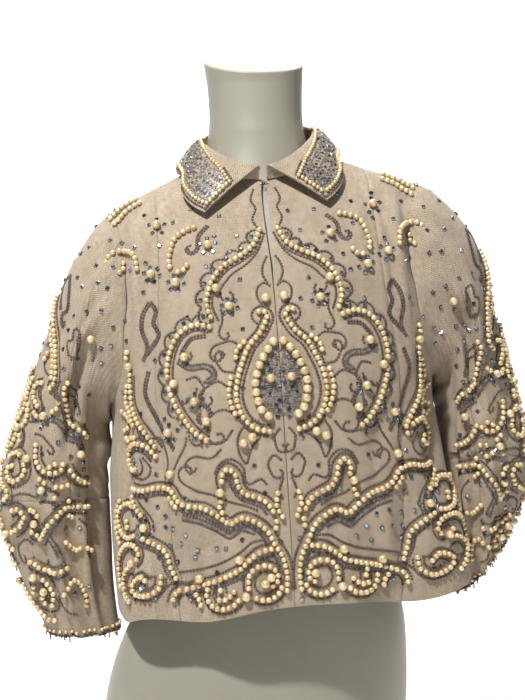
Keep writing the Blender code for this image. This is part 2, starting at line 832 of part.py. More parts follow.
def wire(name, points, thickness, finish, collection, cyclic=False):
    """A bent wire through points in millimetres."""
    data = bpy.data.curves.new(name, "CURVE")
    data.dimensions = "3D"
    data.bevel_depth = thickness / 2 * MM
    data.bevel_resolution = 1
    data.use_fill_caps = not cyclic
    line = data.splines.new("POLY")
    line.points.add(len(points) - 1)
    for vertex, point in zip(line.points, points):
        vertex.co = (*(np.array(point) * MM), 1)
    line.use_cyclic_u = cyclic
    data.materials.append(finish)
    obj = bpy.data.objects.new(name, data)
    collection.objects.link(obj)
    return obj


def neck_fastening(finish, collection):
    """The hook and the thread eye that hold the fronts together at the neck."""
    centre = (torso(1, 1.97) + torso(-1, 1.97)) / 2
    normal = torso_normal(0.5, 1.97)
    across = np.array((1.0, 0, 0))
    up = unit(np.cross(normal, across))
    seat = centre + normal * 2.2
    ring = [
        seat + across * (2.4 * math.cos(a) - 0.9) + up * 2.4 * math.sin(a)
        for a in np.linspace(0, 2 * math.pi, 12, endpoint=False)
    ]
    wire("neck_eye", ring, 0.8, finish, collection, cyclic=True)
    bend = [(5.0, -1.1), (0.6, -1.1), (-0.5, -0.7), (-0.8, 0.1), (-0.5, 1.0), (0.6, 1.4), (3.8, 1.4)]
    route = [seat + across * x + normal * out for x, out in bend]
    wire("neck_hook", route, 0.8, finish, collection)


def main():
    for obj in list(bpy.data.objects):
        bpy.data.objects.remove(obj)
    collection = bpy.data.collections.new("beaded_jacket_on_dress_form")
    bpy.context.scene.collection.children.link(collection)
    cloth = material("cloth", CLOTH_COLOUR, 0.85)
    form(material("form", FORM_COLOUR, 0.45), collection)
    fronts(cloth, collection)
    back(cloth, collection)
    sleeves(cloth, collection)
    collar(cloth, collection)
    neck_fastening(material("metal", METAL_COLOUR, 0.4, 0.8), collection)


main()
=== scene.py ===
"""Looks of a cropped beaded jacket on a limbless dress form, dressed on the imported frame.

The cloth is built again here as fine shells on the same two surfaces as the solids: one round the
torso and one down each arm. The beading is set along lines of this script's own drawing, placed on
those surfaces. Tables are in millimetres and degrees, and the objects are in metres.
"""

import math
from collections import namedtuple

import bpy
import numpy as np
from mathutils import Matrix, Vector
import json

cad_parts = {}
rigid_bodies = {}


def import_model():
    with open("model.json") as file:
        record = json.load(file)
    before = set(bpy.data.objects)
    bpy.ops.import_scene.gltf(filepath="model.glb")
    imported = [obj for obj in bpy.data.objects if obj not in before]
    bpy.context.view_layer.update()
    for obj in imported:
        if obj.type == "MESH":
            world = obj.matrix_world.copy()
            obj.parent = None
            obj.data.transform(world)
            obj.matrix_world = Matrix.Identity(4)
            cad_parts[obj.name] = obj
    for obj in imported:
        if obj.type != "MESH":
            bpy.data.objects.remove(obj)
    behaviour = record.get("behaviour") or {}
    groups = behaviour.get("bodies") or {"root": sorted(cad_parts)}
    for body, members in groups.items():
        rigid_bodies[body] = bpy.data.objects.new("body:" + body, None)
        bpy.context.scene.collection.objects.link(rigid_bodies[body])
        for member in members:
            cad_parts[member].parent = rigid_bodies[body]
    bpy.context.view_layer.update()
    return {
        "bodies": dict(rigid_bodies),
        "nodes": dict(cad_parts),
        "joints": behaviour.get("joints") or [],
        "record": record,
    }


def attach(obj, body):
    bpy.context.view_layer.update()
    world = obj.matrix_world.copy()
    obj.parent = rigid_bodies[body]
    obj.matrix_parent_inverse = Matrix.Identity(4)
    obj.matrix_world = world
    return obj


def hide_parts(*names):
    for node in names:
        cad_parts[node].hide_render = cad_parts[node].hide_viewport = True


MM = 0.001
SEED = 7
SIDES = ((-1, "right"), (1, "left"))

# Levels and shares that the solids use too.
UNDERARM = 1.0
SHOULDER_POINT = 1.72
YOKE_SEAM_END = 1.84
NECKLINE = 2.0
ELBOW_SEAM = 0.78
ARMHOLE_BLEND = 0.22
BACK_SLEEVE_SEAM = 252.0
NECK_CENTRE_X = 3.0
NECK_PIVOT_Z = 660.0
LEAN = 3.4
HEM_Z = 240.0
HEM_TILT = 4.3
SHOULDER_Z = 640.0
SHOULDER_TILT = 6.2
SLEEVE_HOLD_Z = 520.0
COLLAR_CLOTH = 2.4
ROLL_RADIUS = 4.5
FALL_BULGE = 2.0
NECK_TOP_Z = 790.0
NECK_TOP_DROP = 21.0

# The cloth's look: its thickness and how deep its seams draw in.
CLOTH = 1.3
SEAM_DRAW = 0.9
SEAM_WIDTH = 1.8
SEAM_HALF_GAP = 0.15

# The cloth's unevenness as it hangs: the size of each set of waves and its depth.
TORSO_RIPPLES = ((26, 0.9), (10, 0.3))
SLEEVE_RIPPLES = ((24, 0.8), (10, 0.3))

# How far to either side a surface is read for its normals: in degrees round it, and in levels or shares.
FORM_STEP = (2.5, 0.02)
TORSO_STEP = (2.0, 0.02)
TORSO_FINE_STEP = (0.8, 0.008)
SLEEVE_STEP = (3.0, 0.012)
SLEEVE_FINE_STEP = (1.2, 0.006)

# The level below which the hem dips, and the shares of a sleeve over which it comes to hang and its
# own creases take over from the torso's.
HEM_DIP_REACH = 0.6
HANG_SHARE = 0.35
ARMHOLE_FADE = 0.07
# The depth, in millimetres, over which the torso's creases fade out at its sides.
SIDE_FADE = 40
# The share of a crease's length over which it runs out beyond either end.
TAPER = 0.18

# The weave, half a period each: where the herringbone turns, and from one twill line to the next.
STRIPE = 5.0
TWILL = 0.95

# Beads: radii, sizes and the spacing along a row.
PEARL = 2.9
LARGE_PEARL = 4.4
COLLAR_PEARL = 2.2
PEARL_PITCH = 6.0
LARGE_PITCH = 9.0
COLLAR_PITCH = 4.7
STITCH_PITCH = 3.25
STITCH_SIZE = (1.6, 1.5, 0.8)
SILVER_PITCH = 2.3
SILVER_SIZE = (1.5, 0.5, 0.5)
SILVER_SLANT = 55.0
STONE_SIZE = 1.95
COLLAR_STONE = 1.35
# How far a pearl's middle stands off the cloth, and the room that it needs, as shares of its radius.
PEARL_SEAT = 0.82
# One in so many of the places inside a filled outline has a stone.
FILL_STONE = 17
# The circle of stones round a large pearl, and one lobe of a scalloped line.
PETAL_REACH = 8.0
LOBE = 17.0

# How far beside a line of pearls its stitching, silver beads and scallops lie.
CLOSE_STITCH = 5.2
FREE_STITCH = 5.9
SILVER_OFF = 4.6
OUTER_STITCH = 7.0
SCALLOP_FOOT = 4.0
SCALLOP_RISE = 7.5
SCALLOP_STONE = 6.6
# How far each of a double line's rows, and each of a silver line's edges, lies from its middle.
DOUBLE_OFF = 1.25
BRAID_OFF = 2.4

# The beading of the cuff's edge: down from the edge, radius, and pitch along it.
CUFF_BEADS = (1.2, 1.3, 2.9)
CUFF_PEARLS = (3.6, 1.9, 7.0)
STRAND_BEAD = 1.15
STRAND_PITCH = 2.1

# The collar's beading, in shares from the end of its roll to its edge, and its lace in millimetres.
ROLL_END = 0.40
PEARLS_AT = 0.85
STITCH_AT = 0.945
LACE_END = 0.80
LACE_PITCH = 2.1
LACE_CELL_LONG = 10.0
LACE_CELL_DEEP = 9.0
LACE_GAP = 3.2

# The beading's coordinates on a sleeve: millimetres across for each degree of turn, and its length.
SLEEVE_MM_PER_DEGREE = 1.05
SLEEVE_LENGTH = 430.0
# Across a sleeve to its inner side: half a turn from its outer side.
INNER_SIDE = 189.0
# The row across which the upper sleeve's under piece is cut widest.
UNDER_WIDE_ROW = 24

# The camera, in metres and degrees: how far off, what it looks at, how far round to the wearer's
# right it stands, and half the height that it sees.
CAMERA_DISTANCE = 1.4
CAMERA_TARGET = (0.007, 0.0, 0.479)
CAMERA_TURN = 4.0
HALF_VIEW = 0.378
# Lights: place, aim, size in metres and power in watts.
OBJECT_MIDDLE = (0.0, 0.0, 0.45)
LIGHTS = (
    ("key", (-0.70, -1.30, 2.3), OBJECT_MIDDLE, 0.12, 92.0),
    ("fill", (1.6, -1.5, 1.0), OBJECT_MIDDLE, 1.6, 2.5),
    ("rim", (0.6, 1.6, 1.9), OBJECT_MIDDLE, 1.0, 8.0),
    ("backdrop", (0.0, 1.0, 3.2), (0.0, 3.0, 0.9), 2.0, 120.0),
)
WORLD_LIGHT = 0.09
# The floor, in metres: half its width, where its wall stands, the bend up to it and its height.
FLOOR_HALF = 12.0
FLOOR_WALL = 3.0
FLOOR_BEND = 1.0
WALL_TOP = 8.0


class Table:
    """Rows of named columns, read at any values of the first by a smooth cubic through the rows."""

    def __init__(self, columns, *rows):
        self.row = namedtuple("Row", columns)
        self.values = np.array(rows, float)
        self.keys = self.values[:, 0]
        self.slopes = np.gradient(self.values, self.keys, axis=0)

    def at(self, key):
        key = np.asarray(key, float)
        i = np.clip(np.searchsorted(self.keys, key, side="right") - 1, 0, len(self.keys) - 2)
        step = self.keys[i + 1] - self.keys[i]
        t = np.clip((key - self.keys[i]) / step, 0.0, 1.0)
        rise = t * t * (3 - 2 * t)
        start, end = t * (1 - t) ** 2 * step, t * t * (t - 1) * step
        parts = ((1 - rise, self.values[i]), (rise, self.values[i + 1]))
        parts += ((start, self.slopes[i]), (end, self.slopes[i + 1]))
        value = sum(weight[..., None] * column for weight, column in parts)
        return self.row(*np.moveaxis(value, -1, 0))


TORSO = Table(
    "level half_width front back front_z side_z back_z square bow",
    (0.00, 181, 147, 126, 230, 223, 232, 0.86, 0.90),
    (0.35, 181, 146, 123, 302, 296, 305, 0.86, 0.90),
    (0.65, 179, 144, 120, 363, 358, 368, 0.87, 0.92),
    (1.00, 173, 139, 117, 438, 434, 442, 0.88, 0.94),
    (1.15, 181, 134, 118, 474, 470, 482, 0.90, 0.98),
    (1.35, 190, 122, 116, 520, 541, 536, 0.94, 1.06),
    (1.50, 194, 111, 111, 556, 600, 580, 0.97, 1.14),
    (1.60, 188, 102, 106, 579, 627, 608, 1.00, 1.20),
    (1.70, 161, 91, 98, 601, 644, 634, 1.00, 1.20),
    (1.84, 113, 77, 84, 629, 664, 668, 1.00, 1.15),
    (2.00, 64, 60, 62, 656, 683, 698, 1.00, 1.00),
)
PRINCESS = Table(
    "level side",
    (0.00, 113),
    (0.50, 118),
    (1.10, 123),
    (1.40, 115),
    (1.60, 112),
    (YOKE_SEAM_END, 113),
)
ARMHOLE = Table(
    "turn front back",
    (0, 160, 160),
    (18, 154.5, 155),
    (36, 151.5, 154),
    (60, 150, 153),
    (90, 150, 153),
    (126, 157, 159),
    (150, 165, 166),
    (180, 176, 176),
)
FRONT_EDGE = Table(
    "level side",
    (0.00, 0.25),
    (1.30, 0.25),
    (1.40, 0.25),
    (1.52, 0.6),
    (1.66, 2.2),
    (1.82, 3.2),
    (1.94, 2.6),
    (2.00, 1.2),
)

# Folds of the torso: azimuth, width, depth, reach up from the hem, and how soon each grows.
FOLDS = (
    (62, 16, 29, 0.80, 1),
    (98, 22, -24, 0.85, 1),
    (33, 9, -7, 0.55, 1),
    (14, 7, 4, 0.45, 1),
    (-14, 8, 3, 0.40, 1),
    (-30, 10, -6, 0.55, 1),
    (-50, 13, 8, 0.75, 1),
    (-93, 26, -3, 0.90, 1),
    (125, 11, -3, 0.65, 1),
    (150, 13, 9, 0.75, 1),
    (178, 12, -6, 0.60, 1),
    (-152, 13, 9, 0.75, 1),
    (-122, 10, -4, 0.65, 1),
)
# Where the hem hangs lower: azimuth, width and drop.
HEM_DIPS = (
    (-27, 15, 10),
    (40, 19, 9),
    (66, 12, -6),
    (-64, 14, 10),
    (150, 16, 6),
    (-150, 16, 6),
)

SLEEVE_COLUMNS = "share outer_x outer_z inner_x inner_z half_depth behind"
RIGHT_SLEEVE = Table(
    SLEEVE_COLUMNS,
    (0.00, 160, 643, 173, 434, 72, 0),
    (0.08, 183, 626, 181, 431, 72, 0),
    (0.16, 203, 595, 186, 424, 70, 0),
    (0.26, 220, 558, 185, 410, 67, 0),
    (0.38, 237, 514, 181, 393, 64, 1),
    (0.50, 253, 467, 178, 376, 62, 2),
    (0.62, 270, 417, 176, 358, 62, 3),
    (0.72, 282, 375, 174, 344, 62, 4),
    (0.78, 287, 347, 173, 336, 61, 5),
    (0.88, 277, 298, 171, 290, 57, 7),
    (0.94, 260, 246, 168, 240, 50, 8),
    (1.00, 235, 195, 160, 190, 42, 9),
)
LEFT_SLEEVE = Table(
    SLEEVE_COLUMNS,
    (0.00, 160, 643, 173, 434, 72, 0),
    (0.08, 190, 633, 181, 431, 72, 0),
    (0.16, 214, 604, 186, 424, 70, 0),
    (0.26, 232, 564, 188, 412, 67, 0),
    (0.38, 244, 514, 189, 396, 64, 1),
    (0.50, 256, 466, 189, 378, 62, 2),
    (0.62, 270, 416, 189, 362, 62, 3),
    (0.72, 280, 374, 189, 350, 62, 4),
    (0.78, 284, 345, 189, 345, 61, 6),
    (0.88, 280, 298, 191, 290, 56, 9),
    (0.94, 269, 267, 197, 240, 49, 12),
    (1.00, 253, 246, 210, 198, 42, 14),
)
SLEEVE_SEAM = Table(
    "share turn",
    (0.00, 36),
    (0.10, 61),
    (0.20, 96),
    (0.38, 107),
    (0.60, 110),
    (0.78, 113),
    (0.90, 101),
    (1.00, 78),
)
# Folds of the sleeves: turn, width, depth, share and reach.
SLEEVE_FOLDS = (
    (82, 11, 5, 0.26, 0.16),
    (108, 12, -9, 0.30, 0.20),
    (52, 13, -5, 0.34, 0.16),
    (62, 16, -6, 0.90, 0.08),
    (30, 14, 4, 0.88, 0.10),
    (125, 14, 5, 0.90, 0.10),
    (0, 16, -3, 0.92, 0.08),
    (-62, 14, -6, 0.30, 0.18),
    (-40, 15, -5, 0.90, 0.09),
    (-85, 14, 5, 0.88, 0.10),
    (146, 18, 6, 0.52, 0.24),
    (-146, 20, 8, 0.52, 0.26),
)

COLLAR = Table(
    "seam roll_up roll_out edge_azimuth edge_level lift",
    (3, 13, 4, 26, 1.762, 7.0),
    (22, 17, 2, 35, 1.790, 6.5),
    (44, 22, -1, 46, 1.835, 6.0),
    (68, 26, -4, 60, 1.902, 5.5),
    (90, 29, -6, 88, 1.930, 5.5),
    (120, 31, -6, 124, 1.900, 5.5),
    (150, 31, -4, 152, 1.860, 5.5),
    (180, 31, -4, 180, 1.850, 5.5),
)

FORM_TRUNK = Table(
    "height middle half_width front back",
    (0, -4, 152, 98, 112),
    (50, -3, 160, 103, 120),
    (100, 0, 162, 104, 122),
    (150, 6, 157, 101, 116),
    (190, 13, 148, 96, 105),
    (240, 19, 132, 90, 92),
    (290, 22, 121, 88, 84),
    (340, 23, 122, 95, 84),
    (385, 22, 131, 110, 90),
    (420, 21, 140, 123, 97),
)
FORM_NECK = Table(
    "height middle half_width front back",
    (706, 1, 53, 54, 54),
    (722, 0, 50.5, 52, 53),
    (750, -1, 50.5, 51, 54),
    (775, -2, 52, 52, 55),
    (790, -3, 53.5, 53, 56),
)
FORM_INSET = Table(
    "level side front back",
    (1.00, 26, 9, 13),
    (1.15, 22, 9, 12),
    (1.35, 26, 9, 11),
    (1.50, 30, 8, 9),
    (1.60, 22, 7, 7),
    (1.70, 6.0, 6, 6),
    (1.78, 2.55, 5, 5),
    (1.84, 2.55, 5, 5),
    (2.00, 5.0, 6, 5),
)

# Soft creases of the fronts: from side and height to side and height, width and depth.
FRONT_CREASES = (
    (146, 628, 150, 540, 6, -5.0),
    (134, 618, 137, 500, 6, 2.4),
    (122, 606, 127, 520, 5, -2.0),
    (152, 478, 155, 340, 7, -5.4),
    (126, 424, 112, 262, 9, -3.2),
    (80, 300, 88, 238, 7, -2.6),
    (134, 470, 138, 380, 7, 2.4),
    (104, 636, 110, 560, 7, -2.2),
    (92, 628, 92, 550, 8, 1.4),
    (116, 430, 122, 300, 9, 2.0),
    (60, 360, 72, 262, 11, -3.8),
    (30, 352, 32, 256, 8, 2.6),
    (94, 320, 106, 240, 9, 2.8),
    (100, 410, 86, 316, 12, -3.6),
    (142, 316, 136, 238, 8, 3.2),
    (48, 560, 40, 470, 14, -2.2),
    (-147, 628, -151, 530, 6, -5.0),
    (-133, 620, -136, 510, 6, 2.4),
    (-120, 606, -124, 530, 5, -2.0),
    (-153, 480, -159, 330, 7, -5.4),
    (-124, 430, -112, 262, 9, -3.2),
    (-80, 300, -88, 238, 7, -2.6),
    (-132, 470, -140, 370, 7, 2.4),
    (-102, 636, -108, 566, 7, -2.2),
    (-60, 350, -68, 256, 11, -4.2),
    (-96, 360, -102, 250, 8, 3.2),
    (-30, 340, -34, 250, 9, 2.6),
    (-98, 430, -84, 330, 12, -3.8),
    (-144, 310, -136, 240, 8, 3.4),
    (-52, 550, -44, 460, 15, -2.4),
)
BACK_CREASES = (
    (140, 610, 150, 480, 9, -2.4),
    (-140, 610, -150, 480, 9, -2.4),
    (60, 650, 80, 560, 14, -1.2),
    (-60, 650, -80, 560, 14, -1.2),
    (120, 440, 128, 300, 10, 1.6),
    (-118, 440, -124, 300, 10, 1.6),
    (8, 420, 4, 270, 16, -1.6),
)
# Soft creases of the sleeves: from across and down to across and down, width and depth. Across runs
# from the outer side towards the front, and down from the armhole.
SLEEVE_CREASES = (
    (78, 24, 98, 190, 6, -5.0),
    (104, 60, 108, 240, 6, -5.5),
    (90, 46, 92, 165, 4.5, 2.6),
    (124, 80, 120, 250, 6, 3.4),
    (48, 14, 66, 110, 8, -2.6),
    (139, 172, 130, 327, 6, -4.0),
    (63, 262, 76, 327, 8, -2.6),
    (40, 290, 60, 330, 8, 2.0),
    (74, 340, 84, 428, 6, -4.2),
    (50, 345, 57, 428, 6, 2.6),
    (21, 345, 26, 428, 7, -3.2),
    (98, 330, 96, 428, 7, 5.0),
    (122, 330, 118, 428, 9, -7.0),
    (-42, 26, -74, 172, 8, -4.0),
    (-95, 60, -105, 258, 8, -4.2),
    (-60, 120, -66, 300, 9, 2.4),
    (-21, 340, -25, 428, 8, -3.4),
    (-67, 340, -63, 428, 8, 3.0),
    (-100, 340, -98, 428, 8, -3.0),
)
# The same for the inner side of each sleeve, which lies against the torso. They work both ways
# round, as across has no sign here.
RIGHT_PRESS = (
    (INNER_SIDE, 10, INNER_SIDE, 205, 36, 15.0),
    (INNER_SIDE, 195, INNER_SIDE, 290, 34, 2.0),
    (INNER_SIDE, 215, INNER_SIDE, 430, 32, 3.8),
    (156, 80, 150, 425, 12, -10.0),
)
LEFT_PRESS = (
    (INNER_SIDE, 30, INNER_SIDE, 130, 30, 6.5),
    (INNER_SIDE, 90, INNER_SIDE, 200, 30, 2.8),
    (156, 80, 150, 425, 12, -8.0),
)


def smooth(t):
    t = np.clip(t, 0.0, 1.0)
    return t * t * (3 - 2 * t)


def power(value, exponent):
    return np.sign(value) * np.abs(value) ** exponent


def bell(offset, width):
    return np.exp(-((offset / width) ** 2))


def around(angle):
    return (angle + 180.0) % 360.0 - 180.0


def unit(vectors):
    return vectors / np.maximum(np.linalg.norm(vectors, axis=-1, keepdims=True), 1e-12)


def torso_point(azimuth, level):
    """Points of the torso before it is settled: azimuth 0 is the centre front."""
    azimuth, level = np.broadcast_arrays(np.asarray(azimuth, float), np.asarray(level, float))
    ring = TORSO.at(level)
    azimuth = around(azimuth)
    sine, cosine = np.sin(np.radians(azimuth)), np.cos(np.radians(azimuth))
    depth = np.where(cosine >= 0, ring.front, ring.back)
    middle_z = np.where(cosine >= 0, ring.front_z, ring.back_z)
    x = ring.half_width * power(sine, ring.square)
    y = -depth * power(cosine, ring.bow)
    z = middle_z + (ring.side_z - middle_z) * sine * sine
    for at, width, deep, reach, growth in FOLDS:
        push = deep * smooth(growth * (reach - level) / reach) * bell(around(azimuth - at), width)
        x = x + push * sine
        y = y - push * cosine
    fade = smooth(1 - level / HEM_DIP_REACH)
    for at, width, drop in HEM_DIPS:
        z = z - drop * fade * bell(around(azimuth - at), width)
    return np.stack((x, y, z), axis=-1)


def azimuth_at(side, level):
    """The azimuth at which the torso's ring lies this far from its centre line."""
    ring = TORSO.at(level)
    share = np.clip(np.abs(side) / ring.half_width, 0.0, 1.0)
    return np.copysign(np.degrees(np.arcsin(share ** (1 / ring.square))), side)


def find_level(height, height_at):
    """The level at which a height that rises with the level is reached."""
    height = np.asarray(height, float)
    low, high = np.zeros(height.shape), np.full(height.shape, NECKLINE)
    for _ in range(22):
        level = (low + high) / 2
        below = height_at(level) < height
        low, high = np.where(below, level, low), np.where(below, high, level)
    return (low + high) / 2


def armhole(turn):
    """Azimuth and level of the armhole's edge: turn 0 is its top, 90 its front, 180 its base."""
    turns, azimuths, levels = ARMHOLE_EDGE
    turn = np.asarray(turn, float) % 360.0
    return np.interp(turn, turns, azimuths), np.interp(turn, turns, levels)


def armhole_edge():
    """The armhole's edge at close turns, from its table of sides and the torso's side heights."""
    turn = np.concatenate((np.linspace(0, 179.999, 721), np.linspace(180, 360, 721)))
    base, top = float(TORSO.at(UNDERARM).side_z), float(TORSO.at(SHOULDER_POINT).side_z)
    height = (top + base) / 2 + (top - base) / 2 * np.cos(np.radians(turn))
    level = find_level(height, lambda at: TORSO.at(at).side_z)
    ahead = azimuth_at(ARMHOLE.at(turn).front, level)
    behind = 180 - azimuth_at(ARMHOLE.at(360 - turn).back, level)
    return turn, np.where(turn < 180, ahead, behind), level


ARMHOLE_EDGE = armhole_edge()


def sleeve_point(side, turn, share):
    """Points of a sleeve before it is settled: side is -1 for the wearer's right, 1 for the left."""
    turn, share = np.broadcast_arrays(np.asarray(turn, float), np.asarray(share, float))
    row = (LEFT_SLEEVE if side > 0 else RIGHT_SLEEVE).at(share)
    zero = np.zeros(share.shape)
    outer = np.stack((row.outer_x, zero, row.outer_z), axis=-1)
    inner = np.stack((row.inner_x, zero, row.inner_z), axis=-1)
    angle = np.radians(turn)
    push = np.ones(share.shape)
    for at, width, deep, middle, reach in SLEEVE_FOLDS:
        near = bell(around(turn - at), width) * bell(share - middle, reach)
        push = push + near * deep / row.half_depth
    across = (outer - inner) / 2 * np.cos(angle)[..., None]
    ahead = np.stack((zero, row.half_depth * np.sin(angle), zero), axis=-1)
    behind = np.stack((zero, row.behind, zero), axis=-1)
    point = (outer + inner) / 2 + behind + push[..., None] * (across - ahead)
    rest = (np.maximum(1 - share / ARMHOLE_BLEND, 0.0) ** 2)[..., None]
    return (rest * torso_point(*armhole(turn)) + (1 - rest) * point) * (side, 1, 1)


def lean(height):
    return (NECK_PIVOT_Z - height) * math.tan(math.radians(LEAN))


def settle(points, hang=0.0):
    """The points on the form, whose shoulders tilt. A sleeve hangs straight down as hang nears 1."""
    x, y, z = np.moveaxis(points, -1, 0)
    side = (1 - hang) * lean(z) + hang * lean(np.maximum(z, SLEEVE_HOLD_Z))
    share = np.clip((z - HEM_Z) / (SHOULDER_Z - HEM_Z), 0.0, 1.0)
    tilt = HEM_TILT + (SHOULDER_TILT - HEM_TILT) * share
    return np.stack((NECK_CENTRE_X + x + side, y, z + x * np.tan(np.radians(tilt))), axis=-1)


def normals_of(surface, u, v, steps, last):
    """Unit normals of a surface from points on either side, with v from 0 to its last value."""
    u, v = np.broadcast_arrays(np.asarray(u, float), np.asarray(v, float))
    u_step, v_step = steps
    low, high = np.maximum(v - v_step, 0), np.minimum(v + v_step, last)
    along_u = surface(u + u_step, v) - surface(u - u_step, v)
    return unit(np.cross(along_u, surface(u, high) - surface(u, low)))


def crease_relief(across, along, creases):
    """How far the creases push the cloth out at places given by two coordinates."""
    total = np.zeros(across.shape)
    for from_u, from_v, to_u, to_v, width, deep in creases:
        line = np.array((to_u - from_u, to_v - from_v), float)
        length = float(line @ line)
        t = ((across - from_u) * line[0] + (along - from_v) * line[1]) / length
        off_u = across - from_u - t * line[0]
        off_v = along - from_v - t * line[1]
        taper = smooth((t + TAPER) / (2 * TAPER)) * smooth((1 + TAPER - t) / (2 * TAPER))
        total = total + deep * taper * bell(np.hypot(off_u, off_v), width)
    return total


def with_ripples(relief, points, ripples):
    """The relief with the shallow unevenness of hanging cloth, from a few crossed waves of each size."""
    for size, depth in ripples:
        x, y, z = np.moveaxis(points / size, -1, 0)
        waves = np.sin(1.7 * x + 0.6 * z + 1.3 * np.sin(0.7 * z + y))
        waves = waves + np.sin(0.9 * y - 1.1 * z + 1.7 * np.sin(0.8 * x)) + np.sin(2.1 * x - 0.5 * y)
        relief = relief + depth * waves / 3
    return relief


def torso_plain(azimuth, level):
    return settle(torso_point(azimuth, level))


def torso_normal(azimuth, level):
    return normals_of(torso_plain, azimuth, level, FORM_STEP, NECKLINE)


def torso_creased(azimuth, level):
    """Points of the torso's cloth with its creases, which fade out at the centre of the sides."""
    before = torso_point(azimuth, level)
    front = np.cos(np.radians(around(np.asarray(azimuth, float)))) >= 0
    ahead = crease_relief(before[..., 0], before[..., 2], FRONT_CREASES)
    behind = crease_relief(before[..., 0], before[..., 2], BACK_CREASES)
    fade = smooth(np.abs(before[..., 1]) / SIDE_FADE)
    relief = with_ripples(np.where(front, ahead, behind) * fade, before, TORSO_RIPPLES)
    normal = normals_of(torso_plain, azimuth, level, TORSO_STEP, NECKLINE)
    return settle(before) + normal * relief[..., None]


def torso(azimuth, level):
    """Points and unit normals of the torso's cloth with its creases."""
    normals = normals_of(torso_creased, azimuth, level, TORSO_FINE_STEP, NECKLINE)
    return torso_creased(azimuth, level), normals


def sleeve(side, turn, share):
    """Points and unit normals of a sleeve's cloth with its creases.

    At the armhole the sleeve takes on the torso's creases, so that the two stay together there.
    """

    def plain(u, v):
        return settle(sleeve_point(side, u, v), hang=smooth(np.asarray(v, float) / HANG_SHARE))

    def creased(u, v):
        u, v = np.broadcast_arrays(np.asarray(u, float), np.asarray(v, float))
        points = plain(u, v)
        across = around(u) * SLEEVE_MM_PER_DEGREE
        press = LEFT_PRESS if side > 0 else RIGHT_PRESS
        relief = crease_relief(across, v * SLEEVE_LENGTH, SLEEVE_CREASES)
        relief = relief + crease_relief(np.abs(across), v * SLEEVE_LENGTH, press)
        relief = with_ripples(relief, points, SLEEVE_RIPPLES)
        own = side * normals_of(plain, u, v, SLEEVE_STEP, 1) * relief[..., None]
        azimuth, level = armhole(u)
        torsos = torso_creased(side * azimuth, level) - torso_plain(side * azimuth, level)
        fade = smooth(v / ARMHOLE_FADE)[..., None]
        return points + fade * own + (1 - fade) * torsos

    return creased(turn, share), side * normals_of(creased, turn, share, SLEEVE_FINE_STEP, 1)


def collar_grid(side, seams, count):
    """The collar's upper side: one row for each seam place, from its foot over the roll to its edge."""
    grid = []
    for seam in seams:
        row = COLLAR.at(seam)
        place = (side * row.seam, NECKLINE)
        foot = torso_plain(*place) + 0.6 * torso_normal(*place)
        turn = math.radians(seam)
        radial = np.array((side * math.sin(turn), -math.cos(turn), 0))
        up = np.array((0, 0, 1.0))
        edge_at = (side * row.edge_azimuth, row.edge_level)
        edge_normal = torso_normal(*edge_at)
        edge = torso_plain(*edge_at) + (row.lift + COLLAR_CLOTH) * edge_normal
        middle = foot + radial * (row.roll_out + ROLL_RADIUS) + up * (row.roll_up - ROLL_RADIUS)
        fall = unit((edge - middle) * (1, 1, 0))
        points = [foot, foot * 0.5 + (middle - radial * ROLL_RADIUS) * 0.5]
        for angle in np.linspace(180, 50, 7):
            share = (180 - angle) / 130
            away = unit(radial * (1 - share) + fall * share)
            rise = math.radians(angle)
            points.append(middle + ROLL_RADIUS * (away * math.cos(rise) + up * math.sin(rise)))
        start = points[-1]
        for share in np.linspace(0.15, 1.0, 8):
            bulge = FALL_BULGE * 4 * share * (1 - share)
            points.append(start * (1 - share) + edge * share + bulge * edge_normal)
        grid.append(resample(np.array(points), count))
    return np.array(grid)


def measured(points):
    """The distance of each point along a line of points."""
    return np.concatenate(([0], np.cumsum(np.linalg.norm(np.diff(points, axis=0), axis=1))))


def resample(points, count):
    """This many points, evenly spaced along a line of points."""
    length = measured(points)
    at = np.linspace(0, length[-1], count)
    return np.stack([np.interp(at, length, points[:, k]) for k in range(points.shape[1])], axis=-1)


# Materials.


class Finish:
    """A material and the nodes that feed its shader. A value is a socket to link, or is set."""

    def __init__(self, name):
        self.made = bpy.data.materials.new(name)
        self.made.use_nodes = True
        self.tree = self.made.node_tree

    def feed(self, node, values):
        for key, value in values.items():
            if isinstance(value, bpy.types.NodeSocket):
                self.tree.links.new(value, node.inputs[key])
            else:
                node.inputs[key].default_value = value
        return node

    def shade(self, values):
        self.feed(self.tree.nodes["Principled BSDF"], values)

    def node(self, kind, values):
        return self.feed(self.tree.nodes.new("ShaderNode" + kind), values)

    def object_place(self):
        return self.node("TexCoord", {}).outputs["Object"]

    def math(self, operation, first, second):
        node = self.node("Math", {0: first, 1: second})
        node.operation = operation
        return node.outputs[0]

    def noise(self, values):
        return self.node("TexNoise", values).outputs["Fac"]

    def ramp(self, factor, *stops):
        """A colour ramp from (place, colour) stops."""
        node = self.node("ValToRGB", {"Fac": factor})
        elements = node.color_ramp.elements
        while len(elements) < len(stops):
            elements.new(0.5)
        for element, (place, colour) in zip(elements, stops):
            element.position = place
            element.color = (*colour, 1)
        return node.outputs["Color"]

    def bump(self, height, strength, depth):
        node = self.node("Bump", {"Height": height, "Strength": strength, "Distance": depth})
        self.shade({"Normal": node.outputs["Normal"]})


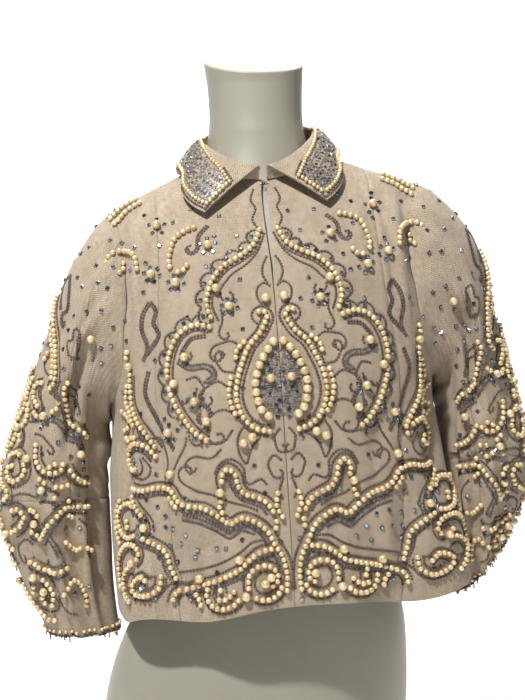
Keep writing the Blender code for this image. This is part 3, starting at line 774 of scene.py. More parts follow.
def cloth_material():
    """Oatmeal herringbone linen: twill lines that turn every few millimetres, slubs and soft soiling."""
    finish = Finish("herringbone_linen")
    layout = finish.node("UVMap", {})
    layout.uv_map = "cloth"
    uv = layout.outputs["UV"]
    split = finish.node("SeparateXYZ", {"Vector": uv})
    # The UV map is in metres, so these are threads and stripes of real size.
    across, along = (finish.math("MULTIPLY", split.outputs[axis], 1000.0) for axis in ("X", "Y"))
    rise = finish.math("ADD", finish.math("PINGPONG", across, STRIPE), along)
    twill = finish.math("DIVIDE", finish.math("PINGPONG", rise, TWILL), TWILL)
    slubs = []
    for stretch, scale in (((1.0, 0.18, 1.0), 900.0), ((0.16, 1.0, 1.0), 800.0)):
        place = finish.node("Mapping", {"Vector": uv, "Scale": stretch}).outputs["Vector"]
        slub = finish.noise({"Vector": place, "Scale": scale, "Detail": 2.0})
        slubs.append(finish.math("MULTIPLY", slub, 0.5))
    slub = finish.math("ADD", *slubs)
    thread = finish.math("ADD", finish.math("MULTIPLY", twill, 0.52), finish.math("MULTIPLY", slub, 0.78))
    shades = ((0.30, (0.095, 0.068, 0.045)), (0.58, (0.292, 0.231, 0.166)), (0.92, (0.500, 0.412, 0.306)))
    soil = finish.noise({"Scale": 9.0, "Detail": 3.0})
    mix = finish.tree.nodes.new("ShaderNodeMix")
    mix.data_type = "RGBA"
    mix.blend_type = "MULTIPLY"
    sockets = {socket.identifier: socket for socket in (*mix.inputs, *mix.outputs)}
    sockets["Factor_Float"].default_value = 1.0
    finish.tree.links.new(finish.ramp(thread, *shades), sockets["A_Color"])
    soil = finish.ramp(soil, (0.35, (0.86, 0.84, 0.82)), (0.65, (1.0, 1.0, 1.0)))
    finish.tree.links.new(soil, sockets["B_Color"])
    finish.shade({"Base Color": sockets["Result_Color"], "Roughness": 0.88, "Specular IOR Level": 0.25})
    finish.shade({"Sheen Weight": 0.12, "Sheen Roughness": 0.5})
    finish.bump(thread, 0.75, 0.0004)
    return finish.made


def bead_material(name, dark, light, scale, roughness, metallic=0.0, coat=0.0, bump_depth=0.00005):
    """A bead's finish, whose colour drifts between two shades from bead to bead."""
    finish = Finish(name)
    place = finish.object_place()
    tone = finish.noise({"Vector": place, "Scale": scale, "Detail": 1.0})
    finish.shade({"Base Color": finish.ramp(tone, (0.3, dark), (0.7, light)), "Roughness": roughness})
    finish.shade({"Metallic": metallic, "Coat Weight": coat, "Coat Roughness": 0.12})
    finish.bump(finish.noise({"Vector": place, "Scale": scale * 9, "Detail": 2.0}), 0.4, bump_depth)
    return finish.made


def form_material():
    """The form's smooth shell, faintly mottled and scuffed, in an off-white darkened to grey as painted
    shade.
    """
    finish = Finish("form_shell")
    place = finish.object_place()
    tone = finish.noise({"Vector": place, "Scale": 6.0, "Detail": 4.0})
    # Both shades are the form's off-white darkened as painted shade, standing in for the shade on its neck
    # and under the jacket's hem.
    colour = finish.ramp(tone, (0.3, (0.235, 0.221, 0.175)), (0.7, (0.275, 0.259, 0.206)))
    scuff = finish.noise({"Vector": place, "Scale": 60.0, "Detail": 5.0})
    rough = finish.node("MapRange", {"Value": scuff, "To Min": 0.34, "To Max": 0.5})
    finish.shade({"Base Color": colour, "Roughness": rough.outputs["Result"]})
    finish.bump(scuff, 0.15, 0.0003)
    return finish.made


# Meshes.


def make_object(name, verts, faces, finish, uv=None, sharp=None):
    mesh = bpy.data.meshes.new(name)
    mesh.from_pydata((np.asarray(verts) * MM).tolist(), [], faces)
    mesh.shade_smooth()
    if sharp is not None:
        mesh.set_sharp_from_angle(angle=math.radians(sharp))
    if uv is not None:
        layer = mesh.uv_layers.new(name="cloth")
        index = np.zeros(len(mesh.loops), int)
        mesh.loops.foreach_get("vertex_index", index)
        layer.data.foreach_set("uv", uv[index].ravel())
    obj = bpy.data.objects.new(name, mesh)
    obj.data.materials.append(finish)
    bpy.context.scene.collection.objects.link(obj)
    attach(obj, "root")
    return obj


def arc_lengths(grid, axis):
    steps = np.linalg.norm(np.diff(grid, axis=axis), axis=2)
    total = np.cumsum(steps, axis=axis)
    pad = [(0, 0), (0, 0)]
    pad[axis] = (1, 0)
    return np.pad(total, pad)


def shell(name, grid, normals, finish, grain, thickness, seams, wide_row=None):
    """A closed shell of cloth from a grid of points, drawn in at the borders that are sewn.

    seams says, for the first and last row and the first and last column, how far each draws in.
    grain is the column from which the weave is laid out, and wide_row the row across which the cut
    is widest, where its first row is a hollow armhole curve.
    """
    up, across = arc_lengths(grid, 0), arc_lengths(grid, 1)
    width, length = across[:, -1:], up[-1:, :]
    edges = (up, length - up, across, width - across)
    draw = sum(share * SEAM_DRAW * bell(edge, SEAM_WIDTH) for share, edge in zip(seams, edges))
    outer = grid - normals * draw[..., None]
    for edge, inside, axis in ((0, 1, 0), (-1, -2, 0), (0, 1, 1), (-1, -2, 1)):
        rows, source = np.moveaxis(outer, axis, 0), np.moveaxis(grid, axis, 0)
        rows[edge] += unit(source[inside] - source[edge]) * SEAM_HALF_GAP
    inner = outer - normals * thickness
    rows, columns = grid.shape[:2]
    number = np.arange(rows * columns).reshape(rows, columns)
    under = number + rows * columns
    cells = np.stack((number[:-1, :-1], number[:-1, 1:], number[1:, 1:], number[1:, :-1]), axis=-1)
    below = np.stack((under[1:, :-1], under[1:, 1:], under[:-1, 1:], under[:-1, :-1]), axis=-1)
    rim = []
    loop = list(number[0]) + list(number[1:, -1]) + list(number[-1, -2::-1]) + list(number[-2:0:-1, 0])
    for here, there in zip(loop, loop[1:] + loop[:1]):
        rim.append((there, here, here + rows * columns, there + rows * columns))
    faces = [tuple(int(i) for i in face) for face in (*cells.reshape(-1, 4), *below.reshape(-1, 4), *rim)]
    i, j = rows // 2, columns // 2
    facing = np.cross(grid[i, j + 1] - grid[i, j], grid[i + 1, j] - grid[i, j]) @ normals[i, j]
    if facing < 0:
        faces = [face[::-1] for face in faces]
    u = across - across[:, grain : grain + 1]
    v = np.broadcast_to(up[:, grain : grain + 1], u.shape)
    uv = np.stack((u, v), axis=-1).reshape(-1, 2) * MM
    verts = np.concatenate((outer.reshape(-1, 3), inner.reshape(-1, 3)))
    obj = make_object(name, verts, faces, finish, uv=np.concatenate((uv, uv)), sharp=50)
    sides = np.cross(grid[1:, 1:] - grid[:-1, :-1], grid[1:, :-1] - grid[:-1, 1:])
    area = float(np.sum(np.linalg.norm(sides, axis=2)) / 2) * MM * MM
    widest = width.max() if wide_row is None else width[wide_row, 0]
    flat = (float(widest) * MM, float(length.max()) * MM)
    return obj, flat, area


def spread(start, end, count):
    """Shares from start to end with extra ones near both ends, where the seams draw in."""
    near = (0.0, 0.006, 0.014, 0.028)
    middle = list(np.linspace(0.045, 0.955, count))
    shares = np.array([*near, *middle, *(1 - n for n in reversed(near))])
    return start + (end - start) * shares


def torso_rows():
    """Rows of a panel: their levels, and the armhole turns of the rows beside it."""
    low = spread(0, 1, 52) * UNDERARM
    beside = np.arange(176, -1, -4.0)
    yoke = SHOULDER_POINT + (YOKE_SEAM_END - SHOULDER_POINT) * np.sin(np.radians(np.linspace(12, 90, 7)))
    neck = YOKE_SEAM_END + (NECKLINE - YOKE_SEAM_END) * spread(0, 1, 8)[1:]
    return low, beside, yoke, neck


def panel_edges(sign, behind):
    """Level and outer azimuth of each row of a panel that has the armhole in its outer edge."""
    low, beside, yoke, _ = torso_rows()
    turns = 360 - beside if behind else beside
    azimuths, levels = armhole(turns % 360)
    edge = np.concatenate((np.full(low.shape, 90.0), azimuths, np.full(yoke.shape, 90.0)))
    return np.concatenate((low, levels, yoke)), sign * edge


def princess_azimuths(levels, sign):
    inside = azimuth_at(PRINCESS.at(levels).side, levels)
    return sign * np.where(levels >= YOKE_SEAM_END - 1e-9, 90.0, inside)


def panel(name, levels, start, end, columns, finish, seams):
    shares = spread(0, 1, columns)
    azimuths = start[:, None] + (end - start)[:, None] * shares[None, :]
    grid, normals = torso(azimuths, np.broadcast_to(levels[:, None], azimuths.shape))
    return shell(name, grid, normals, finish, 0, CLOTH, seams)


# Beading.


class Beads:
    """Copies of small templates on the cloth, joined in one mesh."""

    def __init__(self):
        self.verts, self.faces, self.count = [], [], 0

    def add(self, template, places, frames, scale):
        """One copy at each place. A frame's rows are its X, Y and Z axes, and Z stands off the cloth."""
        verts, faces = template
        places = np.asarray(places, float).reshape(-1, 3)
        scale = np.broadcast_to(np.asarray(scale, float), (len(places), 3))
        local = verts[None] * scale[:, None, :]
        moved = np.einsum("nvk,nkd->nvd", local, frames) + places[:, None, :]
        self.verts.append(moved.reshape(-1, 3))
        starts = self.count + np.arange(len(places)) * len(verts)
        for start in starts.tolist():
            self.faces.extend([tuple(start + i for i in face) for face in faces])
        self.count += len(places) * len(verts)

    def build(self, name, finish, sharp):
        return make_object(name, np.concatenate(self.verts), self.faces, finish, sharp=sharp)


def ball(segments, rings):
    """A unit sphere's points and faces."""
    verts = [(0, 0, 1.0)]
    for ring in range(1, rings):
        angle = math.pi * ring / rings
        for k in range(segments):
            turn = math.tau * (k + 0.5 * (ring % 2)) / segments
            out = math.sin(angle)
            verts.append((out * math.cos(turn), out * math.sin(turn), math.cos(angle)))
    verts.append((0, 0, -1.0))
    faces = [(0, 1 + k, 1 + (k + 1) % segments) for k in range(segments)]
    for ring in range(rings - 2):
        low, high = 1 + ring * segments, 1 + (ring + 1) * segments
        for k in range(segments):
            there = (k + 1) % segments
            faces.append((low + k, high + k, high + there, low + there))
    last, start = len(verts) - 1, 1 + (rings - 2) * segments
    faces += [(last, start + (k + 1) % segments, start + k) for k in range(segments)]
    return np.array(verts), faces


def cut_stone():
    """A square stone with a table and bevelled sides, standing on its setting."""
    verts = []
    for size, height in ((1.0, 0.0), (1.0, 0.45), (0.55, 0.95)):
        for k in range(4):
            turn = math.radians(45 + 90 * k)
            verts.append((size * math.cos(turn) * 1.4142, size * math.sin(turn) * 1.4142, height))
    faces = [(3, 2, 1, 0), (8, 9, 10, 11)]
    for low, high in ((0, 4), (4, 8)):
        for k in range(4):
            there = (k + 1) % 4
            faces.append((low + k, low + there, high + there, high + k))
    return np.array(verts), faces


def tube(sides):
    """A short tube along X, of unit half length and radius."""
    verts = []
    for x in (-1, 1):
        for k in range(sides):
            turn = math.tau * k / sides
            verts.append((x, math.cos(turn), math.sin(turn)))
    faces = [tuple(range(sides)), tuple(range(2 * sides - 1, sides - 1, -1))]
    for k in range(sides):
        there = (k + 1) % sides
        faces.append((k, sides + k, sides + there, there))
    return np.array(verts), faces


def link():
    """One loop of chain stitch: a flat drop that narrows along X."""
    verts, faces = ball(7, 4)
    verts = verts.copy()
    verts[:, 1] *= 1.0 - 0.35 * verts[:, 0]
    return verts, faces


ROUND = ball(10, 7)
LARGE_ROUND = ball(14, 9)
SEED_ROUND = ball(6, 4)
STONE = cut_stone()
TUBE = tube(6)
LINK = link()


def spline(anchors):
    """Points about a millimetre apart along a smooth line through the anchors."""
    anchors = np.array(anchors, float)
    if len(anchors) < 3:
        return resample(anchors, max(int(np.linalg.norm(anchors[-1] - anchors[0])), 2))
    padded = np.concatenate(([2 * anchors[0] - anchors[1]], anchors, [2 * anchors[-1] - anchors[-2]]))
    points = []
    t = np.linspace(0, 1, 16, endpoint=False)[:, None]
    for a, b, c, d in zip(padded, padded[1:], padded[2:], padded[3:]):
        curve = 2 * b + (c - a) * t + (2 * a - 5 * b + 4 * c - d) * t**2 + (3 * b - a - 3 * c + d) * t**3
        points.append(curve / 2)
    points = np.concatenate((*points, anchors[-1:]))
    length = np.sum(np.linalg.norm(np.diff(points, axis=0), axis=1))
    return resample(points, max(int(length), 2))


def curl(points, bends):
    """The line carried on by bends: how long each is, and its degrees per mm at its start and end."""
    points = [tuple(p) for p in points]
    heading = math.atan2(points[-1][1] - points[-2][1], points[-1][0] - points[-2][0])
    x, y = points[-1]
    for length, first, last in bends:
        for k in range(int(length)):
            heading += math.radians(first + (last - first) * (k + 0.5) / length)
            x += math.cos(heading)
            y += math.sin(heading)
            points.append((x, y))
    return np.array(points)


def line_on(surface, line):
    """Points, normals and distances along a line that is drawn in a surface's own coordinates."""
    points, normals = surface(line[:, 0], line[:, 1])
    return points, normals, measured(points)


def flattened(heading, normal):
    """Unit headings laid in the plane that the normals stand on."""
    return unit(heading - normal * np.sum(heading * normal, axis=-1, keepdims=True))


def frame_of(heading, normal):
    return np.stack((heading, np.cross(normal, heading), normal), axis=-2)


def along(line, distances):
    """Places and frames at these distances along a line: X runs along it and Z stands off the cloth."""
    points, normals, length = line
    tangent = unit(np.gradient(points, axis=0))

    def read(values):
        return np.stack([np.interp(distances, length, values[:, k]) for k in range(3)], axis=-1)

    normal = unit(read(normals))
    return read(points), frame_of(flattened(read(tangent), normal), normal)


def offset_line(line, off, hand):
    """The line that runs beside another, on its left if off is positive, with its own distances."""
    points, normals, length = line
    left = hand * unit(np.cross(normals, unit(np.gradient(points, axis=0))))
    off = off(length) if callable(off) else np.full(length.shape, float(off))
    moved = points + left * off[:, None]
    return moved, normals, measured(moved)


class Beading:
    """All that is sewn on one region of the cloth, with room kept between the beads.

    hand is 1 where the surface's first coordinate runs rightwards as seen from outside, else -1, so
    that a mirrored surface gets a mirrored design.
    """

    def __init__(self, surface, hand=1):
        self.surface, self.hand = surface, hand
        self.pearls, self.stones, self.stitches, self.silver = Beads(), Beads(), Beads(), Beads()
        self.centres, self.radii, self.used = np.zeros((6000, 3)), np.zeros(6000), 0

    def take(self, place, radius):
        self.centres[self.used], self.radii[self.used] = place, radius
        self.used += 1

    def gaps(self, places):
        """The room from each place to the nearest bead."""
        places = np.asarray(places, float).reshape(-1, 3)
        if not self.used:
            return np.full(len(places), 1e3)
        apart = np.linalg.norm(places[:, None] - self.centres[None, : self.used], axis=2)
        return (apart - self.radii[None, : self.used]).min(axis=1)

    def pearl(self, place, frame, radius):
        """A pearl on the cloth, unless another bead is in its place."""
        if self.gaps(place)[0] < radius * PEARL_SEAT:
            return
        seat = place + frame[2] * radius * PEARL_SEAT
        self.pearls.add(LARGE_ROUND if radius > PEARL else ROUND, [seat], frame[None], radius)
        self.take(place, radius)

    def pearl_row(self, line, radius=PEARL, pitch=PEARL_PITCH):
        places, frames = along(line, np.arange(0, line[2][-1], pitch))
        for place, frame in zip(places, frames):
            self.pearl(place, frame, radius)

    def beside(self, line, off, pitch, room):
        """Free places and frames along the line that runs beside another."""
        moved = offset_line(line, off, self.hand)
        distances = np.arange(pitch / 2, moved[2][-1], pitch)
        places, frames = along(moved, distances)
        keep = self.gaps(places) > room
        return places[keep], frames[keep]

    def stitch_row(self, line, off=0.0):
        """Dark chain stitch beside a line. Links that a pearl covers are left out."""
        places, frames = self.beside(line, off, STITCH_PITCH, 0.4)
        if len(places):
            self.stitches.add(LINK, places + frames[:, 2] * 0.3, frames, STITCH_SIZE)

    def silver_row(self, line, off, pitch=SILVER_PITCH, slant=SILVER_SLANT):
        """Short silver tubes laid slantwise beside a line."""
        places, frames = self.beside(line, off, pitch, 0.2)
        if len(places):
            turn = math.radians(slant * self.hand)
            heading = frames[:, 0] * math.cos(turn) + frames[:, 1] * math.sin(turn)
            frames = frame_of(heading, frames[:, 2])
            self.silver.add(TUBE, places + frames[:, 2] * 0.5, frames, SILVER_SIZE)

    def frames_at(self, u, v, turn=0.0):
        """Places and frames at the surface's coordinates, turned in the cloth's plane."""
        u, v = np.atleast_1d(np.asarray(u, float)), np.atleast_1d(np.asarray(v, float))
        here, normal = self.surface(u, v)
        heading = flattened(self.surface(u + 0.8, v)[0] - self.surface(u - 0.8, v)[0], normal)
        angle = np.radians(turn) * np.ones(len(u))
        side = np.cross(normal, heading)
        heading = heading * np.cos(angle)[:, None] + side * np.sin(angle)[:, None]
        return here, frame_of(heading, normal)

    def stone(self, place, frame, room, size=STONE_SIZE, radius=STONE_SIZE):
        """A square stone, if this much room is free, which then takes up a radius of its own."""
        if self.gaps(place)[0] > room:
            self.stones.add(STONE, [place], frame[None], size)
            self.take(place, radius)

    def stone_row(self, u, v, turn, room):
        """Square stones at places in the surface's coordinates, wherever there is room."""
        for place, frame in zip(*self.frames_at(u, v, turn)):
            self.stone(place, frame, room, radius=STONE_SIZE * 1.1)

    def large(self, u, v, petals):
        """A large pearl, with a ring of stones round it if it has petals."""
        places, frames = self.frames_at(u, v)
        self.pearl(places[0], frames[0], LARGE_PEARL)
        if petals:
            angle = math.tau * (np.arange(petals) + 0.25) / petals
            u, v = u + PETAL_REACH * np.cos(angle), v + PETAL_REACH * np.sin(angle)
            self.stone_row(u, v, np.degrees(angle), room=1.4)

    def stroke(self, line2d, kind):
        """One line of the design, with its pearls."""
        line = line_on(self.surface, line2d)
        if kind.startswith("pearl"):
            self.pearl_row(line)
        if kind == "large":
            self.pearl_row(line, radius=LARGE_PEARL, pitch=LARGE_PITCH)
        return line

    def trim(self, line, kind):
        """The stitching beside a stroke, after every pearl has its place."""
        if kind == "pearl":
            self.stitch_row(line, FREE_STITCH)
            self.stitch_row(line, -CLOSE_STITCH)
        side = -1 if kind.endswith("right") else 1
        if kind in ("pearl_left", "pearl_right"):
            self.stitch_row(line, FREE_STITCH * side)
            self.silver_row(line, -SILVER_OFF * side, slant=SILVER_SLANT * side)
            self.stitch_row(line, -OUTER_STITCH * side)
        if kind.startswith("pearl_scallop"):
            self.stitch_row(line, -CLOSE_STITCH * side)
            self.stitch_row(line, lambda at: side * scallop(at))
            lobes = offset_line(line, side * SCALLOP_STONE, self.hand)
            at = np.arange(LOBE / 2, line[2][-1], LOBE) * lobes[2][-1] / line[2][-1]
            for place, frame in zip(*along(lobes, at)):
                self.stone(place, frame, 1.6)
        if kind == "stitch":
            self.stitch_row(line)
        if kind == "double":
            self.stitch_row(line, DOUBLE_OFF)
            self.stitch_row(line, -DOUBLE_OFF)
        if kind == "silver":
            self.stitch_row(line, BRAID_OFF)
            self.silver_row(line, 0.0, pitch=2.0)
            self.stitch_row(line, -BRAID_OFF)

    def fill(self, outline, rng):
        """Silver beads laid every way inside an outline, with single stones among them."""
        outline = np.array(outline, float)
        low, high = outline.min(axis=0), outline.max(axis=0)
        rows = (np.arange(start, end, SILVER_PITCH) for start, end in zip(low, high))
        u, v = np.meshgrid(*rows)
        u, v = (side.ravel() + rng.uniform(-0.4, 0.4, side.size) for side in (u, v))
        inside = np.zeros(len(u), bool)
        for (u1, v1), (u2, v2) in zip(outline, np.roll(outline, -1, axis=0)):
            crosses = (v1 > v) != (v2 > v)
            inside ^= crosses & (u < (u2 - u1) * (v - v1) / (v2 - v1 + 1e-9) + u1)
        u, v = u[inside], v[inside]
        some = slice(None, None, FILL_STONE)
        self.stone_row(u[some], v[some], rng.uniform(0, 90, len(u[some])), room=2.0)
        places, frames = self.frames_at(u, v, rng.uniform(0, 180, len(u)))
        keep = self.gaps(places) > 0.5
        self.silver.add(TUBE, places[keep] + frames[keep][:, 2] * 0.6, frames[keep], (1.15, 0.6, 0.6))


def scallop(at):
    """How far a scalloped line stands off at distances along its line of pearls."""
    return SCALLOP_FOOT + SCALLOP_RISE * np.abs(np.sin(math.pi * at / LOBE)) ** 0.6


Stroke = namedtuple("Stroke", "kind anchors bends", defaults=((),))

# Bends for the end of a stroke.
SMALL_CURL = ((12, 6, 12), (10, 12, 22))
OPEN_CURL = ((20, 3.5, 8), (16, 8, 16))
WIDE_CURL = ((36, 2.6, 5), (30, 5, 11))


def turned(bends):
    """The same bends to the other hand."""
    return tuple((length, -first, -last) for length, first, last in bends)


def strokes(*rows):
    return tuple(Stroke(*row) for row in rows)


# The design of the fronts: side from the centre line and height, drawn for the wearer's left and
# mirrored for the right.
FRONT_STROKES = strokes(
    # The drop at the centre and the lyre round it.
    ("large", ((5, 487), (14, 476), (21, 463), (25, 449), (24, 434), (20, 421), (9, 412))),
    ("pearl", ((14, 401), (29, 406), (40, 420), (44, 438), (41, 456), (35, 472), (28, 486), (17, 497),
     (10, 509)), turned(SMALL_CURL)),
    ("pearl_plain", ((48, 456), (51, 440), (47, 423), (38, 409))),
    ("pearl_plain", ((33, 490), (41, 482), (43, 472))),
    # The domed arch above them and the lobe at its side.
    ("pearl_scallop_left", ((9, 600), (16, 586), (30, 576), (46, 568), (58, 557), (65, 543), (67, 528),
     (62, 513))),
    ("pearl_scallop_left", ((66, 508), (80, 511), (94, 505), (104, 490), (109, 469), (107, 446), (99, 424),
     (87, 407), (75, 397))),
    # The branches that rise from the hem.
    ("pearl_left", ((16, 324), (22, 333), (32, 339), (42, 343), (48, 352), (50, 362), (57, 368), (63, 361),
     (62, 350))),
    ("pearl_left", ((7, 247), (6, 262), (9, 279), (16, 292), (22, 304), (31, 314), (45, 320), (58, 315),
     (70, 323), (82, 331), (96, 334), (106, 340), (113, 350), (126, 353), (140, 350), (152, 352))),
    ("pearl_right", ((152, 343), (146, 332), (137, 320), (135, 311), (144, 306), (135, 299), (122, 288),
     (118, 272), (112, 258))),
    ("pearl_left", ((20, 288), (31, 286), (41, 279), (52, 271), (65, 266), (80, 262), (95, 258),
     (107, 253))),
    ("pearl_plain", ((7, 318), (12, 330), (10, 342))),
    ("pearl_plain", ((14, 308), (13, 322), (19, 334))),
    ("pearl_plain", ((62, 322), (68, 330), (66, 338))),
    ("pearl_plain", ((108, 334), (115, 342), (112, 350))),
    # The scrolls of the hem.
    ("pearl", ((12, 250), (17, 243), (27, 240), (37, 244), (43, 254), (41, 266), (32, 273), (21, 271),
     (15, 263), (17, 255), (24, 252))),
    ("pearl", ((50, 248), (57, 240), (69, 237), (80, 241), (85, 251), (80, 259), (72, 258), (70, 250))),
    ("pearl_plain", ((57, 252), (64, 246), (73, 246))),
    ("pearl", ((92, 240), (97, 250), (107, 253), (115, 246), (118, 236))),
    ("pearl", ((126, 262), (128, 250), (137, 243), (147, 247), (150, 257), (142, 263), (135, 257))),
    ("pearl", ((154, 244), (160, 254), (162, 266), (156, 276), (148, 272))),
    ("pearl", ((168, 262), (169, 276), (166, 290), (158, 298), (148, 296), (142, 288), (146, 280),
     (154, 284))),
    ("pearl", ((144, 306), (154, 304), (163, 310), (168, 322), (163, 334), (154, 336), (148, 329))),
    ("pearl_plain", ((166, 300), (170, 312), (170, 324), (166, 338))),
    ("pearl_plain", ((156, 314), (158, 324))),
    # The side panel.
    ("pearl_right", ((147, 468), (148, 452), (146, 436), (141, 422), (135, 410), (130, 399), (125, 389))),
    ("pearl_plain", ((154, 456), (156, 440), (151, 426), (144, 412))),
    ("pearl_plain", ((160, 430), (152, 418), (160, 408), (154, 398))),
    ("pearl_plain", ((147, 468), (150, 482), (147, 494))),
    ("pearl_left", ((127, 384), (134, 394), (145, 397), (154, 391), (156, 380), (151, 371), (143, 373),
     (144, 380))),
    ("pearl_plain", ((157, 404), (150, 403), (141, 403))),
    # The crooks of the chest and the shoulder.
    ("pearl_plain", ((74, 610), (84, 607), (94, 600), (99, 588), (101, 576), (97, 567), (88, 567),
     (82, 574))),
    ("pearl_plain", ((133, 574), (135, 588), (144, 596), (156, 596), (164, 588), (165, 577))),
    ("pearl_plain", ((150, 584), (151, 576), (157, 573))),
    ("pearl_plain", ((132, 652), (144, 646), (154, 638), (163, 630))),
    ("pearl_plain", ((128, 646), (140, 640), (150, 632), (158, 624))),
    # Chain stitch alone.
    ("stitch", ((11, 646), (15, 634), (11, 624), (15, 613), (10, 602))),
    ("stitch", ((8, 590), (14, 578), (26, 567), (40, 559), (50, 549)), turned(OPEN_CURL)),
    ("stitch", ((55, 532), (53, 516), (57, 504)), turned(SMALL_CURL)),
    ("stitch", ((4, 574), (9, 565), (10, 555), (5, 545))),
    ("stitch", ((3, 543), (10, 547), (17, 541), (16, 530), (9, 523))),
    ("stitch", ((36, 486), (46, 493), (58, 491)), turned(OPEN_CURL)),
    ("stitch", ((46, 462), (56, 464), (62, 474)), SMALL_CURL),
    ("stitch", ((52, 448), (62, 454), (73, 449)), turned(OPEN_CURL)),
    ("stitch", ((46, 420), (58, 426), (71, 420), (74, 406)), turned(OPEN_CURL)),
    ("stitch", ((50, 406), (58, 396), (70, 394)), OPEN_CURL),
    ("double", ((70, 500), (84, 498), (93, 488)), turned(SMALL_CURL)),
    ("silver", ((99, 478), (88, 470), (76, 470)), ((16, 3, 8), (12, 8, 14))),
    ("double", ((98, 436), (86, 438), (76, 432)), OPEN_CURL),
    ("stitch", ((92, 458), (82, 460), (76, 452)), SMALL_CURL),
    ("stitch", ((20, 402), (26, 413), (38, 409), (46, 396), (44, 380), (38, 370))),
    ("stitch", ((24, 396), (33, 386), (38, 372))),
    ("stitch", ((4, 404), (10, 396), (9, 386)), turned(SMALL_CURL)),
    ("stitch", ((4, 372), (12, 378), (18, 370), (15, 360)), turned(SMALL_CURL)),
    ("stitch", ((4, 356), (8, 344), (5, 334))),
    ("stitch", ((20, 350), (26, 356), (36, 352), (41, 356), (42, 368), (52, 377), (64, 374), (71, 362))),
    ("stitch", ((30, 326), (44, 332), (58, 336), (74, 344), (88, 348), (100, 356)), OPEN_CURL),
    ("silver", ((34, 306), (48, 310), (60, 304), (72, 312), (88, 320), (104, 324))),
    ("stitch", ((26, 298), (38, 296), (50, 288), (66, 281), (84, 276), (102, 272), (112, 268))),
    ("stitch", ((114, 362), (106, 378), (98, 394), (96, 404))),
    ("stitch", ((120, 362), (116, 380), (120, 398)), turned(SMALL_CURL)),
    ("stitch", ((62, 388), (72, 380), (86, 382)), turned(OPEN_CURL)),
    ("double", ((128, 470), (132, 448), (126, 426), (118, 408), (108, 390))),
    ("double", ((124, 540), (130, 528), (132, 512), (128, 494), (133, 480))),
    ("double", ((124, 540), (118, 530), (121, 518), (116, 506), (122, 496), (128, 488))),
    ("stitch", ((138, 384), (132, 372), (138, 362), (150, 364))),
    ("stitch", ((48, 262), (58, 266), (72, 265), (90, 262))),
    ("stitch", ((88, 244), (92, 256), (104, 260), (118, 256), (126, 246))),
    ("stitch", ((136, 300), (134, 314), (140, 328), (150, 337))),
    ("stitch", ((130, 262), (142, 262), (154, 258), (166, 258))),
    ("double", ((60, 612), (70, 602), (72, 590)), SMALL_CURL),
)

# Large pearls of the fronts: side, height and how many stones stand round each.
FRONT_LARGE = (
    (9, 531, 0), (45, 527, 6), (57, 546, 0), (31, 397, 0), (40, 392, 0), (91, 480, 0), (103, 455, 0),
    (96, 556, 6), (74, 416, 0), (112, 407, 5), (22, 261, 0), (28, 256, 0), (50, 281, 0), (138, 312, 5),
    (150, 279, 0), (112, 366, 0), (66, 346, 0), (92, 266, 0), (46, 246, 0), (120, 568, 6), (62, 590, 5),
    (112, 618, 5), (84, 436, 5), (147, 476, 0), (10, 452, 0),
)

